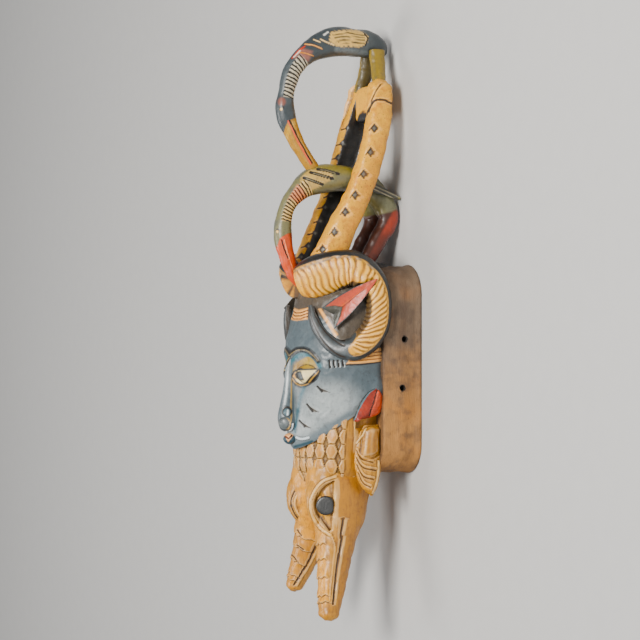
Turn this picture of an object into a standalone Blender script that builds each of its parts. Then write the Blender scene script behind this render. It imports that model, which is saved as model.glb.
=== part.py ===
"""A carved and painted mask in the Guro style, cut from one block of wood.

It lies on the flat back of its rim: the rim's plane is z = 0, the face looks up along +Z, the horns and
birds point along +Y, and the mask's own left side is at +X. The carving's stations are given in carver's
units, one of which is a millimetre on a mask of the real length, so the whole form keeps its proportions.
Walls, holes and steps that a tool sets by themselves are in metres.
"""

import math

import bmesh
import bpy
import numpy as np

LENGTH = 0.574
UNITS_LONG = 574.0
UNIT = LENGTH / UNITS_LONG

RIM_WALL = 0.009
RIM_DEPTH = 0.041
RIM_FLARE = 0.002
HOLE_DIAMETER = 0.0058
FACE_STEP = 0.0035
NOTCH_DEPTH = 0.0012
SLIVER = 0.00002

RIM_HALF_WIDTH = 67.0
RIM_TOP = 53.5
RIM_FOOT = -148.0
RIM_CORNER = 30.0
RIM_TOP_DIP = 6.0
HOLE_PLACES = ((-18.3, 18.1), (-64.8, 20.6))
HOLLOW_STRAIGHT = RIM_DEPTH / UNIT - 10.0
FACE_BASE = HOLLOW_STRAIGHT - 7.0
NECK_BASE = HOLLOW_STRAIGHT - 4.0

FACE_POINT_COUNT = 26
RIM_POINT_COUNT = 36
HORN_POINT_COUNT = 8
BIRD_POINT_COUNT = 10
NECK_POINT_COUNT = 20
SNOUT_POINT_COUNT = 10

# Face: height at the front, half width, front, fullness of the section, and how far the section leans
# so that the last one is the jaw line.
FACE = (
    (56.0, 20.0, 52.0, 2.0, 0.0),
    (53.0, 40.0, 70.0, 2.1, 0.0),
    (45.0, 54.0, 84.0, 2.2, 0.0),
    (31.0, 60.0, 93.0, 2.3, 0.0),
    (13.0, 63.0, 98.5, 2.4, 0.0),
    (-6.0, 64.0, 102.5, 2.5, 0.0),
    (-25.0, 64.5, 107.0, 2.6, 0.0),
    (-45.0, 64.5, 109.5, 2.6, 0.10),
    (-65.0, 64.5, 108.5, 2.4, 0.25),
    (-82.0, 65.0, 107.5, 2.15, 0.45),
    (-97.0, 66.0, 108.0, 1.95, 0.62),
    (-109.0, 67.0, 109.0, 1.8, 0.74),
    (-118.0, 67.5, 108.0, 1.75, 0.80),
    (-124.5, 66.5, 104.7, 1.7, 0.82),
)

# Neck below the jaw: height, half width, front and fullness of its upper half and of its lower half.
NECK = (
    (-62.0, 46.0, 84.0, 2.1, 5.0),
    (-85.0, 48.0, 92.0, 2.1, 5.0),
    (-105.0, 48.0, 96.5, 2.1, 5.0),
    (-122.0, 47.0, 98.5, 2.1, 4.5),
    (-138.0, 46.0, 98.5, 2.2, 3.5),
    (-152.0, 45.0, 98.0, 2.3, 2.6),
    (-166.0, 43.0, 96.0, 2.3, 2.3),
    (-178.0, 37.0, 90.0, 2.2, 2.2),
)

# Dome of the hollow: depth beyond the straight part behind the rim, half width, top and foot.
HOLLOW = (
    (6.0, 52.0, 40.0, -100.0),
    (23.0, 46.0, 33.0, -88.0),
    (36.0, 40.0, 25.0, -82.0),
    (48.0, 31.0, 13.0, -72.0),
    (56.0, 19.0, -5.0, -57.0),
)

# Tubes: sideways, height and depth of the middle, then half thickness sideways and across.
RAM_HORN = (
    (11.0, 38.0, 98.0, 13.0, 16.0),
    (21.0, 39.5, 94.5, 14.0, 19.5),
    (32.0, 43.0, 87.0, 14.0, 20.5),
    (42.0, 47.5, 77.0, 13.0, 18.5),
    (51.0, 48.0, 64.0, 12.0, 16.5),
    (58.0, 40.5, 53.5, 11.5, 14.0),
    (62.0, 27.0, 46.5, 11.0, 12.0),
    (63.5, 11.0, 45.0, 11.0, 11.5),
    (63.5, -5.0, 48.0, 11.0, 12.0),
    (61.0, -18.5, 56.0, 11.0, 12.5),
    (55.5, -27.0, 66.5, 10.5, 11.0),
    (48.5, -27.5, 77.0, 9.5, 9.8),
    (41.0, -21.0, 86.5, 8.5, 8.3),
    (34.5, -10.0, 93.5, 7.0, 6.0),
    (30.0, 3.0, 98.0, 5.0, 4.2),
    (27.0, 14.0, 99.5, 2.5, 2.0),
)
HORN_RIB_COUNT = 18
RIBBED_SHARE = 0.70
RIB_DEPTH = 1.8

ANTELOPE_HORN = (
    (12.0, 34.0, 95.0, 9.0, 9.0),
    (17.0, 49.0, 86.0, 11.0, 12.5),
    (20.0, 62.0, 77.0, 12.0, 14.0),
    (24.0, 89.0, 65.0, 11.0, 13.5),
    (28.0, 114.0, 53.0, 10.5, 12.2),
    (31.0, 145.0, 41.5, 10.0, 11.8),
    (31.0, 174.0, 33.0, 10.0, 11.7),
    (27.5, 203.0, 26.5, 10.0, 11.7),
    (23.5, 220.0, 24.0, 10.0, 11.5),
    (22.0, 228.5, 23.5, 8.5, 10.0),
    (21.5, 232.5, 23.0, 4.5, 5.5),
)

UPPER_BIRD = (
    (0.0, 260.0, 7.5, 4.0, 4.5),
    (0.0, 265.5, 12.6, 8.0, 9.8),
    (0.0, 270.5, 25.0, 11.5, 13.4),
    (0.0, 271.0, 40.5, 13.0, 14.3),
    (0.0, 271.4, 57.0, 14.0, 15.6),
    (0.0, 267.0, 75.0, 12.8, 14.0),
    (0.0, 260.8, 87.0, 11.0, 11.8),
    (0.0, 251.5, 98.0, 9.6, 10.3),
    (0.0, 240.5, 106.5, 9.0, 9.7),
    (0.0, 228.0, 111.0, 8.5, 9.2),
    (0.0, 217.0, 113.2, 8.0, 8.6),
    (0.0, 207.0, 114.5, 9.4, 9.8),
    (0.0, 195.0, 112.8, 9.2, 10.2),
    (0.0, 182.0, 107.2, 8.0, 8.9),
    (0.0, 170.0, 101.0, 7.4, 8.3),
    (0.0, 158.5, 93.0, 6.8, 7.6),
    (0.0, 149.0, 86.0, 6.2, 7.2),
    (0.0, 142.0, 80.0, 5.0, 6.0),
)

LOWER_BIRD = (
    (0.0, 121.5, 9.0, 6.0, 5.0),
    (0.0, 127.0, 16.0, 10.0, 9.5),
    (0.0, 131.5, 25.0, 14.0, 11.5),
    (0.0, 136.0, 38.0, 18.5, 12.3),
    (0.0, 137.8, 49.0, 19.5, 12.8),
    (0.0, 138.0, 62.0, 18.0, 13.8),
    (0.0, 137.0, 75.0, 15.0, 14.6),
    (0.0, 132.5, 89.0, 12.5, 13.4),
    (0.0, 124.7, 99.4, 10.0, 10.6),
    (0.0, 115.8, 107.8, 8.6, 8.8),
    (0.0, 103.0, 114.0, 8.0, 8.2),
    (0.0, 90.5, 116.2, 9.2, 9.0),
    (0.0, 77.0, 116.0, 8.8, 9.2),
    (0.0, 63.6, 113.0, 7.4, 8.3),
    (0.0, 51.0, 108.5, 6.2, 7.4),
    (0.0, 40.0, 104.0, 5.0, 5.8),
    (0.0, 34.0, 99.0, 3.8, 4.2),
)

UPPER_LEG = (
    (9.0, 263.0, 20.5, 5.5, 8.0),
    (12.0, 250.0, 20.8, 5.8, 7.6),
    (15.5, 240.0, 21.8, 6.0, 7.0),
    (19.0, 232.0, 23.0, 6.2, 6.6),
    (21.0, 224.0, 24.0, 6.0, 6.0),
)

LOWER_LEG = (
    (9.0, 131.0, 33.0, 6.5, 10.5),
    (12.0, 120.0, 20.5, 7.8, 11.5),
    (14.5, 109.5, 13.8, 8.2, 11.2),
    (16.0, 100.0, 11.4, 7.8, 10.2),
    (16.0, 90.5, 14.2, 7.4, 9.2),
    (15.3, 80.0, 21.0, 7.0, 8.8),
    (15.3, 68.0, 28.0, 6.8, 8.4),
    (15.3, 57.0, 35.0, 6.6, 8.0),
    (15.3, 47.0, 42.0, 6.0, 7.0),
)

SNOUT_HEAD = (
    (14.0, -118.0, 64.0, 15.0, 22.0),
    (16.5, -140.0, 66.5, 21.0, 28.5),
    (19.0, -158.0, 67.5, 24.0, 30.0),
    (21.0, -172.0, 68.0, 24.5, 28.5),
    (23.0, -185.0, 68.5, 23.0, 25.5),
    (25.0, -198.0, 70.0, 20.5, 22.0),
    (27.0, -211.0, 72.5, 17.5, 18.6),
    (30.5, -230.0, 76.0, 14.5, 15.6),
    (34.0, -248.0, 79.5, 12.5, 13.4),
    (37.5, -263.0, 82.8, 11.0, 11.4),
    (40.5, -275.0, 85.5, 9.8, 9.8),
    (42.0, -282.5, 87.3, 7.8, 7.6),
    (42.3, -286.0, 87.7, 3.4, 3.4),
)
SNOUT_START = -198.0
SNOUT_LENGTHS = {1: 1.0, -1: 0.79}
SNOUT_THICKNESS = {1: 1.0, -1: 0.86}
SNOUT_RINGS = (-216.5, -230.5, -247.5, -264.0)
BULGE_PLACE = (23.5, -172.0, 83.5)
BULGE_HALF = (13.0, 27.0, 18.5)
SOCKET_PLACE = (44.5, -176.0, 90.0)
SOCKET_HALF = (7.0, 25.0, 9.0)
# Pupil in the socket: middle of the peg, the way it looks, its radius and half its depth.
PUPIL = ((38.0, -176.0, 86.6), (0.85, 0.0, 0.5), 8.0, 4.5)

# Leaf shapes: root, tip and the way the leaf's face looks, then its half width and thickness.
EAR = ((46.0, -8.0, 87.0), (73.0, 41.0, 52.0), (0.80, 0.10, 0.60), 13.5, 7.0)
CHEEK_LEAF = ((58.0, -64.0, 38.0), (54.0, -101.0, 68.0), (0.90, -0.10, 0.42), 16.0, 6.0)
NECK_EAR = ((51.5, -90.0, 42.0), (52.5, -165.0, 46.5), (0.90, 0.0, 0.43), 15.5, 8.0)
WING = ((13.0, 139.0, 50.0), (22.5, 118.0, 2.0), (0.75, 0.60, -0.28), 9.5, 3.4)
HORN_BRIDGE = (21.0, (194.0, 229.0), (17.0, 31.0))

NOSE = (
    (0.0, -30.0, 103.0, 3.0, 4.0),
    (0.0, -42.0, 106.5, 4.2, 6.0),
    (0.0, -55.0, 107.0, 4.8, 7.2),
    (0.0, -70.0, 107.5, 5.6, 9.0),
    (0.0, -84.0, 108.5, 6.8, 11.0),
    (0.0, -95.0, 109.5, 8.6, 11.8),
    (0.0, -101.5, 109.5, 9.2, 10.6),
    (0.0, -105.5, 108.5, 6.2, 7.0),
)
BROW = ((5.0, -45.0), (7.0, -35.0), (14.0, -28.0), (25.0, -26.5), (35.0, -31.0), (42.0, -40.0))
BROW_HALF = 1.9
EYE_PLACE = (25.5, -51.5)
EYE_HALF = (13.5, 9.5, 6.5)
MOUTH_PLACE = -114.5
MOUTH_HALF = (8.5, 5.5, 6.5)


def units(values):
    """Carver's units, as metres."""
    return np.asarray(values, float) * UNIT


def through(stations, count):
    """A smooth curve through the stations: cubic spans whose slopes follow the neighbouring chords."""
    points = np.asarray(stations, float)
    chords = np.linalg.norm(np.diff(points[:, :3], axis=0), axis=1)
    run = np.concatenate([[0.0], np.cumsum(chords)])
    slope = np.gradient(points, run, axis=0)
    place = np.linspace(0.0, run[-1], count)
    span = np.clip(np.searchsorted(run, place, side="right") - 1, 0, len(run) - 2)
    width = (run[span + 1] - run[span])[:, None]
    share = (place - run[span])[:, None] / width
    rest = 1 - share
    return (
        points[span] * (1 + 2 * share) * rest**2
        + slope[span] * width * share * rest**2
        + points[span + 1] * (3 - 2 * share) * share**2
        - slope[span + 1] * width * rest * share**2
    )


def superellipse(angle, half_x, half_y, fullness):
    """The section |x/a|^n + |y/b|^n = 1 at the given angles."""
    power = 2.0 / fullness
    c, s = np.cos(angle), np.sin(angle)
    return half_x * np.sign(c) * np.abs(c) ** power, half_y * np.sign(s) * np.abs(s) ** power


def unit_vectors(rows):
    return rows / np.linalg.norm(rows, axis=-1, keepdims=True)


def sweep(stations, rings, around, fullness=2.2):
    """Rings of a tube through the stations, square to its line, with one half axis kept near X."""
    curve = through(stations, rings)
    line = curve[:, :3]
    along = unit_vectors(np.gradient(line, axis=0))
    side = unit_vectors(np.array([1.0, 0.0, 0.0]) - along[:, :1] * along)
    across = np.cross(along, side)
    angle = np.arange(around) * 2 * math.pi / around
    u, v = superellipse(angle[None, :], curve[:, 3:4], curve[:, 4:5], fullness)
    return line[:, None, :] + u[..., None] * side[:, None, :] + v[..., None] * across[:, None, :]


def closed_solid(name, rings):
    """One closed mesh from a stack of rings, with a fan of triangles over each end."""
    rows, around = rings.shape[:2]
    points = np.concatenate([rings.reshape(-1, 3), rings[:1].mean(axis=1), rings[-1:].mean(axis=1)])
    bm = bmesh.new()
    verts = [bm.verts.new(p) for p in points]
    first, last = verts[-2], verts[-1]
    for i in range(rows - 1):
        for j in range(around):
            k = (j + 1) % around
            corner = [verts[i * around + j], verts[i * around + k]]
            above = [verts[(i + 1) * around + k], verts[(i + 1) * around + j]]
            bm.faces.new((corner[0], corner[1], above[0]))
            bm.faces.new((corner[0], above[0], above[1]))
    for j in range(around):
        k = (j + 1) % around
        bm.faces.new((first, verts[k], verts[j]))
        bm.faces.new((last, verts[(rows - 1) * around + j], verts[(rows - 1) * around + k]))
    bmesh.ops.recalc_face_normals(bm, faces=bm.faces)
    mesh = bpy.data.meshes.new(name)
    bm.to_mesh(mesh)
    bm.free()
    solid = bpy.data.objects.new(name, mesh)
    bpy.context.scene.collection.objects.link(solid)
    return solid


def mirrored(rings, side):
    """The same rings on the mask's left (side 1) or right (side -1)."""
    return rings * np.array([side, 1.0, 1.0])


def face_front(x, y):
    """How far forward the face stands at a place of the front, from the stations of FACE."""
    table = np.array(FACE)[::-1]
    half, front, fullness = (np.interp(y, table[:, 0], table[:, i]) for i in (1, 2, 3))
    rise = (1 - min(abs(x) / half, 0.999) ** fullness) ** (1 / fullness)
    return FACE_BASE + (front - FACE_BASE) * rise


def face_rings():
    """Sections of the face from the crown to the jaw, each a half oval closed along its base."""
    rows = through([(0.0, s[0], s[2], s[1], s[3], s[4]) for s in FACE], 18)
    angle = np.linspace(0.0, math.pi, FACE_POINT_COUNT - 4)
    rings = []
    for _, height, front, half, fullness, lean in rows:
        half = half - FACE_STEP / UNIT
        x, z = superellipse(angle, half, front - FACE_BASE, fullness)
        base = np.linspace(-half, half, 6)[1:-1]
        x = np.concatenate([x, base])
        z = np.concatenate([z, np.zeros(4)]) + FACE_BASE
        rings.append(np.stack([x, height + lean * (front - z), z], axis=1))
    return np.array(rings)


def neck_rings():
    """Upright sections of the neck, from inside the face down to where the two heads part."""
    rows = through([(0.0, s[0], s[2], s[1], s[3], s[4]) for s in NECK], 9)
    angle = (np.arange(NECK_POINT_COUNT) + 0.5) * 2 * math.pi / NECK_POINT_COUNT
    rings = []
    for _, height, front, half, upper, lower in rows:
        deep = (front - NECK_BASE) / 2
        fullness = np.where(np.sin(angle) < 0, lower, upper)
        x, z = superellipse(angle, half, deep, fullness)
        rings.append(np.stack([x, np.full(NECK_POINT_COUNT, height), z + NECK_BASE + deep], axis=1))
    return np.array(rings)


def rim_outline(inset, dip):
    """The rim's outline as a rounded oblong, brought in by a wall, its top edge hollowed by a dip."""
    half = RIM_HALF_WIDTH - inset
    top, foot = RIM_TOP - inset, RIM_FOOT + inset
    corner = max(RIM_CORNER - inset, 6.0)
    quarter = np.linspace(0.0, math.pi / 2, RIM_POINT_COUNT // 4)
    centres = ((1, top), (-1, top), (-1, foot), (1, foot))
    outline = []
    for turn, (sign, end) in enumerate(centres):
        a = quarter + turn * math.pi / 2
        towards = -1 if end == top else 1
        outline.append(
            np.stack(
                [sign * (half - corner) + corner * np.cos(a), end + towards * corner + corner * np.sin(a)], axis=1
            )
        )
    outline = np.concatenate(outline)
    reach = np.clip(1 - (outline[:, 0] / (half - corner)) ** 2, 0.0, 1.0)
    outline[:, 1] -= dip * reach * (outline[:, 1] > 0)
    return outline


def rim_rings():
    """The raw rim: a block from the plane it rests on up to the step where the face begins."""
    flare, chamfer, depth = RIM_FLARE / UNIT, 1.5, RIM_DEPTH / UNIT
    levels = ((0.0, chamfer), (1.5, 0.0), (depth * 0.5, 0.0), (depth - 2.0, flare), (depth, flare + 2.0))
    rings = [np.column_stack([rim_outline(inset, RIM_TOP_DIP), np.full(RIM_POINT_COUNT, z)]) for z, inset in levels]
    return np.array(rings)


def hollow_rings():
    """The space for the wearer's face: straight behind the rim, then an egg-shaped dome behind the face."""
    wall = RIM_WALL / UNIT
    mouth = rim_outline(wall, 0.0)
    rings = [np.column_stack([mouth, np.full(RIM_POINT_COUNT, z)]) for z in (-6.0, HOLLOW_STRAIGHT)]
    turn = np.arctan2((mouth[:, 1] - mouth[:, 1].mean()) / 1.5, mouth[:, 0])
    for beyond, half, top, foot in HOLLOW:
        x, y = superellipse(turn, half, (top - foot) / 2, 2.3)
        rings.append(np.column_stack([x, y + (top + foot) / 2, np.full(RIM_POINT_COUNT, HOLLOW_STRAIGHT + beyond)]))
    return np.array(rings)


def ram_horn_rings():
    """The curled horn: ribs across its outer side for most of its length, the rest smooth."""
    rings = sweep(RAM_HORN, 2 * HORN_RIB_COUNT + 6, HORN_POINT_COUNT, 2.4)
    outward = unit_vectors(rings - rings.mean(axis=1, keepdims=True))
    share = np.linspace(0.0, 1.0, len(rings))
    low = (np.arange(len(rings)) % 2 == 1) & (share > 0.04) & (share < RIBBED_SHARE)
    depth = RIB_DEPTH * low[:, None] * np.clip(outward[..., 0] * 1.6, 0.0, 1.0)
    return rings - outward * depth[..., None]


def leaf_rings(leaf, rings=6, around=8):
    """A pointed leaf with a ridge along its face: widest near the root, thick at the root."""
    root, tip, look, half, thick = leaf
    root, tip, look = (np.array(v, float) for v in (root, tip, look))
    along = unit_vectors(tip - root)
    look = unit_vectors(look - along * (look @ along))
    side = np.cross(along, look)
    share = np.linspace(0.0, 1.0, rings)
    width = half * np.interp(share, (0.0, 0.16, 0.35, 0.6, 1.0), (0.65, 0.98, 1.0, 0.72, 0.06))
    depth = thick * (1 - 0.65 * share)
    angle = np.arange(around) * 2 * math.pi / around
    line = root + share[:, None] * (tip - root)
    u = width[:, None] * np.cos(angle)
    v = depth[:, None] * np.sin(angle) * (1.25 - 0.5 * np.abs(np.cos(angle)))
    return line[:, None, :] + u[..., None] * side + v[..., None] * look


def notched_snout(side):
    """One long-snouted head, with cut rings across its muzzle; the right one is carved shorter."""
    reach, thick = SNOUT_LENGTHS[side], SNOUT_THICKNESS[side]
    stations = np.array(SNOUT_HEAD)
    beyond = np.minimum(stations[:, 1] - SNOUT_START, 0.0)
    share = beyond / beyond.min()
    stations[:, 1] += beyond * (reach - 1)
    stations[:, 3:] *= 1 - (1 - thick) * share[:, None]
    rings = sweep(stations, 29, SNOUT_POINT_COUNT, 2.5)
    middle = rings.mean(axis=1, keepdims=True)
    cuts = SNOUT_START + (np.array(SNOUT_RINGS) - SNOUT_START) * reach
    spacing = np.abs(np.diff(middle[:, 0, 1])).mean()
    near = np.abs(middle[:, :, 1] - cuts).min(axis=1) < spacing / 2
    front = np.clip((rings[..., 2] - middle[..., 2]) / 8.0, 0.0, 1.0)
    outward = unit_vectors(rings - middle)
    return mirrored(rings - outward * (near[:, None] * front * NOTCH_DEPTH / UNIT)[..., None], side)


def eyeball_rings(centre, half, rings=6, around=10):
    """An ellipsoid, as a stack of rings along Y."""
    angle = np.arange(around) * 2 * math.pi / around
    tilt = np.linspace(-0.47 * math.pi, 0.47 * math.pi, rings)[:, None]
    x = centre[0] + half[0] * np.cos(tilt) * np.cos(angle)
    z = centre[2] + half[2] * np.cos(tilt) * np.sin(angle)
    y = centre[1] + half[1] * np.sin(tilt) * np.ones_like(angle)
    return np.stack([x, y, z], axis=-1)


def disc_rings(centre, look, radius, deep, around=12):
    """A short round peg that looks along a direction."""
    look = unit_vectors(np.array(look, float))
    side = unit_vectors(np.cross(look, [0.0, 1.0, 0.0]))
    up = np.cross(side, look)
    angle = np.arange(around) * 2 * math.pi / around
    round_edge = radius * (np.cos(angle)[:, None] * side + np.sin(angle)[:, None] * up)
    return np.array([np.array(centre) + k * deep * look + round_edge for k in (-1.0, 1.0)])


def bridge_rings():
    """The block between the tips of the antelope horns, on which the upper bird stands."""
    half, (foot, top), (low, high) = HORN_BRIDGE
    corners = ((-half, low), (half, low), (half, high), (-half, high))
    return np.array([[(x, y, z) for x, z in corners] for y in (foot, top)])


def carved_forms():
    """Every solid form of the carving, by name."""
    forms = {
        "rim": rim_rings(),
        "face": face_rings(),
        "neck": neck_rings(),
        "nose": sweep(NOSE, 11, 10, 2.0),
        "mouth": eyeball_rings((0.0, MOUTH_PLACE, face_front(0.0, MOUTH_PLACE)), MOUTH_HALF),
        "upper_bird": sweep(UPPER_BIRD, 24, BIRD_POINT_COUNT),
        "lower_bird": sweep(LOWER_BIRD, 24, BIRD_POINT_COUNT),
        "horn_bridge": bridge_rings(),
    }
    brow = [(x, y, face_front(x, y) + 0.3, BROW_HALF, BROW_HALF) for x, y in BROW]
    eye = (*EYE_PLACE, face_front(*EYE_PLACE) - 2.5)
    for side, word in ((1, "left"), (-1, "right")):
        forms[f"{word}_ram_horn"] = mirrored(ram_horn_rings(), side)
        forms[f"{word}_antelope_horn"] = mirrored(sweep(ANTELOPE_HORN, 14, HORN_POINT_COUNT, 3.0), side)
        forms[f"{word}_ear"] = mirrored(leaf_rings(EAR), side)
        forms[f"{word}_cheek_leaf"] = mirrored(leaf_rings(CHEEK_LEAF), side)
        forms[f"{word}_neck_ear"] = mirrored(leaf_rings(NECK_EAR), side)
        forms[f"{word}_wing"] = mirrored(leaf_rings(WING), side)
        forms[f"{word}_snout_head"] = notched_snout(side)
        forms[f"{word}_eye_bulge"] = mirrored(eyeball_rings(BULGE_PLACE, BULGE_HALF), side)
        forms[f"{word}_upper_leg"] = mirrored(sweep(UPPER_LEG, 7, 8), side)
        forms[f"{word}_lower_leg"] = mirrored(sweep(LOWER_LEG, 9, 8), side)
        forms[f"{word}_brow"] = mirrored(sweep(brow, 8, 6, 2.0), side)
        forms[f"{word}_eyelid"] = mirrored(eyeball_rings(eye, EYE_HALF), side)
    return forms


def cuts():
    """What is taken out of the carving: the hollow, the cord holes and the eye sockets of the heads."""
    taken = {"hollow": hollow_rings()}
    radius = HOLE_DIAMETER / 2 / UNIT
    for side, word in ((1, "left"), (-1, "right")):
        for number, (height, depth) in enumerate(HOLE_PLACES):
            centre = (side * (RIM_HALF_WIDTH - RIM_WALL / UNIT / 2), height, depth)
            taken[f"{word}_hole_{number}"] = disc_rings(centre, (1.0, 0.0, 0.0), radius, RIM_WALL / UNIT)
        taken[f"{word}_socket"] = mirrored(eyeball_rings(SOCKET_PLACE, SOCKET_HALF), side)
    return taken


def combine(target, other, operation):
    """Joins another solid to the target, or cuts it away, and removes it."""
    modifier = target.modifiers.new(operation.lower(), "BOOLEAN")
    modifier.operation = operation
    modifier.object = other
    modifier.solver = "EXACT"
    graph = bpy.context.evaluated_depsgraph_get()
    mesh = bpy.data.meshes.new_from_object(target.evaluated_get(graph))
    target.modifiers.clear()
    old = target.data
    target.data = mesh
    bpy.data.meshes.remove(old)
    bpy.data.objects.remove(other)


def weld(solid):
    """Closes the slivers that cuts leave where one edge passes close by another."""
    bm = bmesh.new()
    bm.from_mesh(solid.data)
    bmesh.ops.remove_doubles(bm, verts=bm.verts, dist=SLIVER)
    bmesh.ops.dissolve_degenerate(bm, edges=bm.edges, dist=SLIVER)
    bm.to_mesh(solid.data)
    bm.free()


def painted_wood():
    """Oil-rubbed tan paint over wood, the colour that covers most of the mask."""
    material = bpy.data.materials.new("painted_wood")
    material.use_nodes = True
    shader = material.node_tree.nodes["Principled BSDF"]
    shader.inputs["Base Color"].default_value = (0.50, 0.30, 0.13, 1.0)
    shader.inputs["Roughness"].default_value = 0.5
    shader.inputs["Metallic"].default_value = 0.0
    return material


def main():
    for old in list(bpy.data.objects):
        bpy.data.objects.remove(old)
    forms = carved_forms()
    mask = closed_solid("mask", units(forms.pop("rim")))
    for name, rings in forms.items():
        combine(mask, closed_solid(name, units(rings)), "UNION")
    for name, rings in cuts().items():
        combine(mask, closed_solid(name, units(rings)), "DIFFERENCE")
    for side in (1, -1):
        combine(mask, closed_solid(f"pupil_{side}", units(mirrored(disc_rings(*PUPIL), side))), "UNION")
    weld(mask)
    mask.data.materials.clear()
    mask.data.materials.append(painted_wood())
    mask.data.shade_smooth()
    mask.data.set_sharp_from_angle(angle=math.radians(28))


main()
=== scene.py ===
"""A carved and painted mask in the Guro style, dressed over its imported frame.

The mask lies on the back of its rim, the face up along +Z and the horns along +Y. Shapes are worked out in
carver's units, as the frame's are: one unit is a millimetre on a mask of the real length.

Tubes are tables of stations: the middle's place, then the half width and the half depth. What is painted
and cut is set out on a side drawing, as places (across, down) in a square of 640.
"""

import math

import bpy
import mathutils
import numpy as np
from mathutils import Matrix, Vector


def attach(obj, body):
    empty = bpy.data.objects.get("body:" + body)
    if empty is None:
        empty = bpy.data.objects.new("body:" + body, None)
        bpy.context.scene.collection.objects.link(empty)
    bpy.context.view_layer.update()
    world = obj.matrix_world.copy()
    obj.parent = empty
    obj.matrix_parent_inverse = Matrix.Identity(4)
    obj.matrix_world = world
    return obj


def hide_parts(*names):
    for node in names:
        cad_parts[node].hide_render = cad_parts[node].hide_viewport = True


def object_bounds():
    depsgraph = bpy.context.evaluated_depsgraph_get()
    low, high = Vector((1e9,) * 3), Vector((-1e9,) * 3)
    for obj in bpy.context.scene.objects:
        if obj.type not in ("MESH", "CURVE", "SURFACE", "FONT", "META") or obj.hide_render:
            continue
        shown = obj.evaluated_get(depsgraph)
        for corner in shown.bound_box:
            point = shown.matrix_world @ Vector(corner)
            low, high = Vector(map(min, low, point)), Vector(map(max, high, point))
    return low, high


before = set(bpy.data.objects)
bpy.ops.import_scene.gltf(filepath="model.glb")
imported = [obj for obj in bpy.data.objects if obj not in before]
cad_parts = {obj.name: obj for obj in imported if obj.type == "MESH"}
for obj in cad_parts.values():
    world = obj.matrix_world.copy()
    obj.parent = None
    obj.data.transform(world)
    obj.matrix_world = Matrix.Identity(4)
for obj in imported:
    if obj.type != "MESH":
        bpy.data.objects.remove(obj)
CAD_BOX = [list(map(float, corner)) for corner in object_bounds()]

bl_info = {
    "name": "Carved Painted Mask",
    "version": (1, 0, 0),
    "blender": (4, 5, 0),
    "location": "View3D > Sidebar > Mask",
    "description": "Builds a carved and painted wooden mask with horns, birds and two long-snouted heads",
    "category": "Mesh",
}

LENGTH = 573.0
UNIT = (CAD_BOX[1][1] - CAD_BOX[0][1]) / LENGTH

# The side drawing: a square that looks at the mask's left side and down on its face by this tilt.
DRAWING = 640
MIDDLE = DRAWING / 2
TILT = math.radians(24)
ACROSS = np.array([math.sin(TILT), 0.0, -math.cos(TILT)])
TOWARDS = np.array([math.cos(TILT), 0.0, math.sin(TILT)])
AIM = np.array([0.0, 0.0, 0.0772])
AWAY = 2.0
DRAWN = 2060.0


def tint(text):
    """A colour written as six hex digits, made linear: the root curve of screens, undone."""
    value = np.array([int(text[i : i + 2], 16) for i in (0, 2, 4)]) / 255
    return np.where(value < 0.04045, value / 12.92, ((value + 0.055) / 1.055) ** 2.4)


def linear(paint):
    """A colour as it is, or made linear where it is written as six hex digits."""
    return tint(paint) if isinstance(paint, str) else paint


SLATE = tint("4e595e")
# A lighter and a darker slate, for the painted highlights and the painted shade on the face.
HIGHLIGHT_SLATE = tint("a3a9a8")
SHADE_SLATE = tint("3c464b")
SOOT = tint("1d1b19")
COAL = tint("0f0e0d")
BACK_BLACK = tint("2a2926")
BROW_GLINT = tint("a08c60")
UMBER = tint("4a4136")
BONE = tint("ecb35f")
PALE_BONE = tint("fad08a")
PEACH = tint("f0b476")
TEAL = tint("2f5e68")
GOLD = tint("b8924a")
BIRD_BLUE = tint("373e41")
OLIVE = tint("7d7234")
MOSS = tint("6f6b4c")
OXBLOOD = tint("5f3122")
TAN = tint("bf8738")
NUT = tint("7d5430")
RAW = tint("9c724a")

# Face: height along Y, half width, front's height along Z, the section's fullness and its lean.
FACE = (
    (56.0, 20.0, 52.0, 2.0, 0.0),
    (53.0, 40.0, 70.0, 2.1, 0.0),
    (45.0, 54.0, 84.0, 2.2, 0.0),
    (31.0, 60.0, 93.0, 2.3, 0.0),
    (13.0, 63.0, 98.5, 2.4, 0.0),
    (-6.0, 64.0, 102.5, 2.5, 0.0),
    (-25.0, 64.5, 107.0, 2.6, 0.0),
    (-45.0, 64.5, 109.5, 2.6, 0.10),
    (-65.0, 64.5, 108.5, 2.4, 0.25),
    (-82.0, 65.0, 107.5, 2.15, 0.45),
    (-97.0, 66.0, 108.0, 1.95, 0.62),
    (-109.0, 67.0, 109.0, 1.8, 0.74),
    (-118.0, 67.5, 108.0, 1.75, 0.80),
    (-124.5, 66.5, 104.7, 1.7, 0.82),
)
FACE_BASE = 24.0
FACE_STEP = 3.5

# Neck: height along Y, half width, front's height along Z, and the section's fullness above and below.
NECK = (
    (-62.0, 46.0, 84.0, 2.1, 5.0),
    (-85.0, 48.0, 92.0, 2.1, 5.0),
    (-105.0, 48.0, 96.5, 2.1, 5.0),
    (-122.0, 47.0, 98.5, 2.1, 4.5),
    (-138.0, 46.0, 98.5, 2.2, 3.5),
    (-152.0, 45.0, 98.0, 2.3, 2.6),
    (-166.0, 43.0, 96.0, 2.3, 2.3),
    (-178.0, 37.0, 90.0, 2.2, 2.2),
)
NECK_BASE = 27.0

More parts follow.
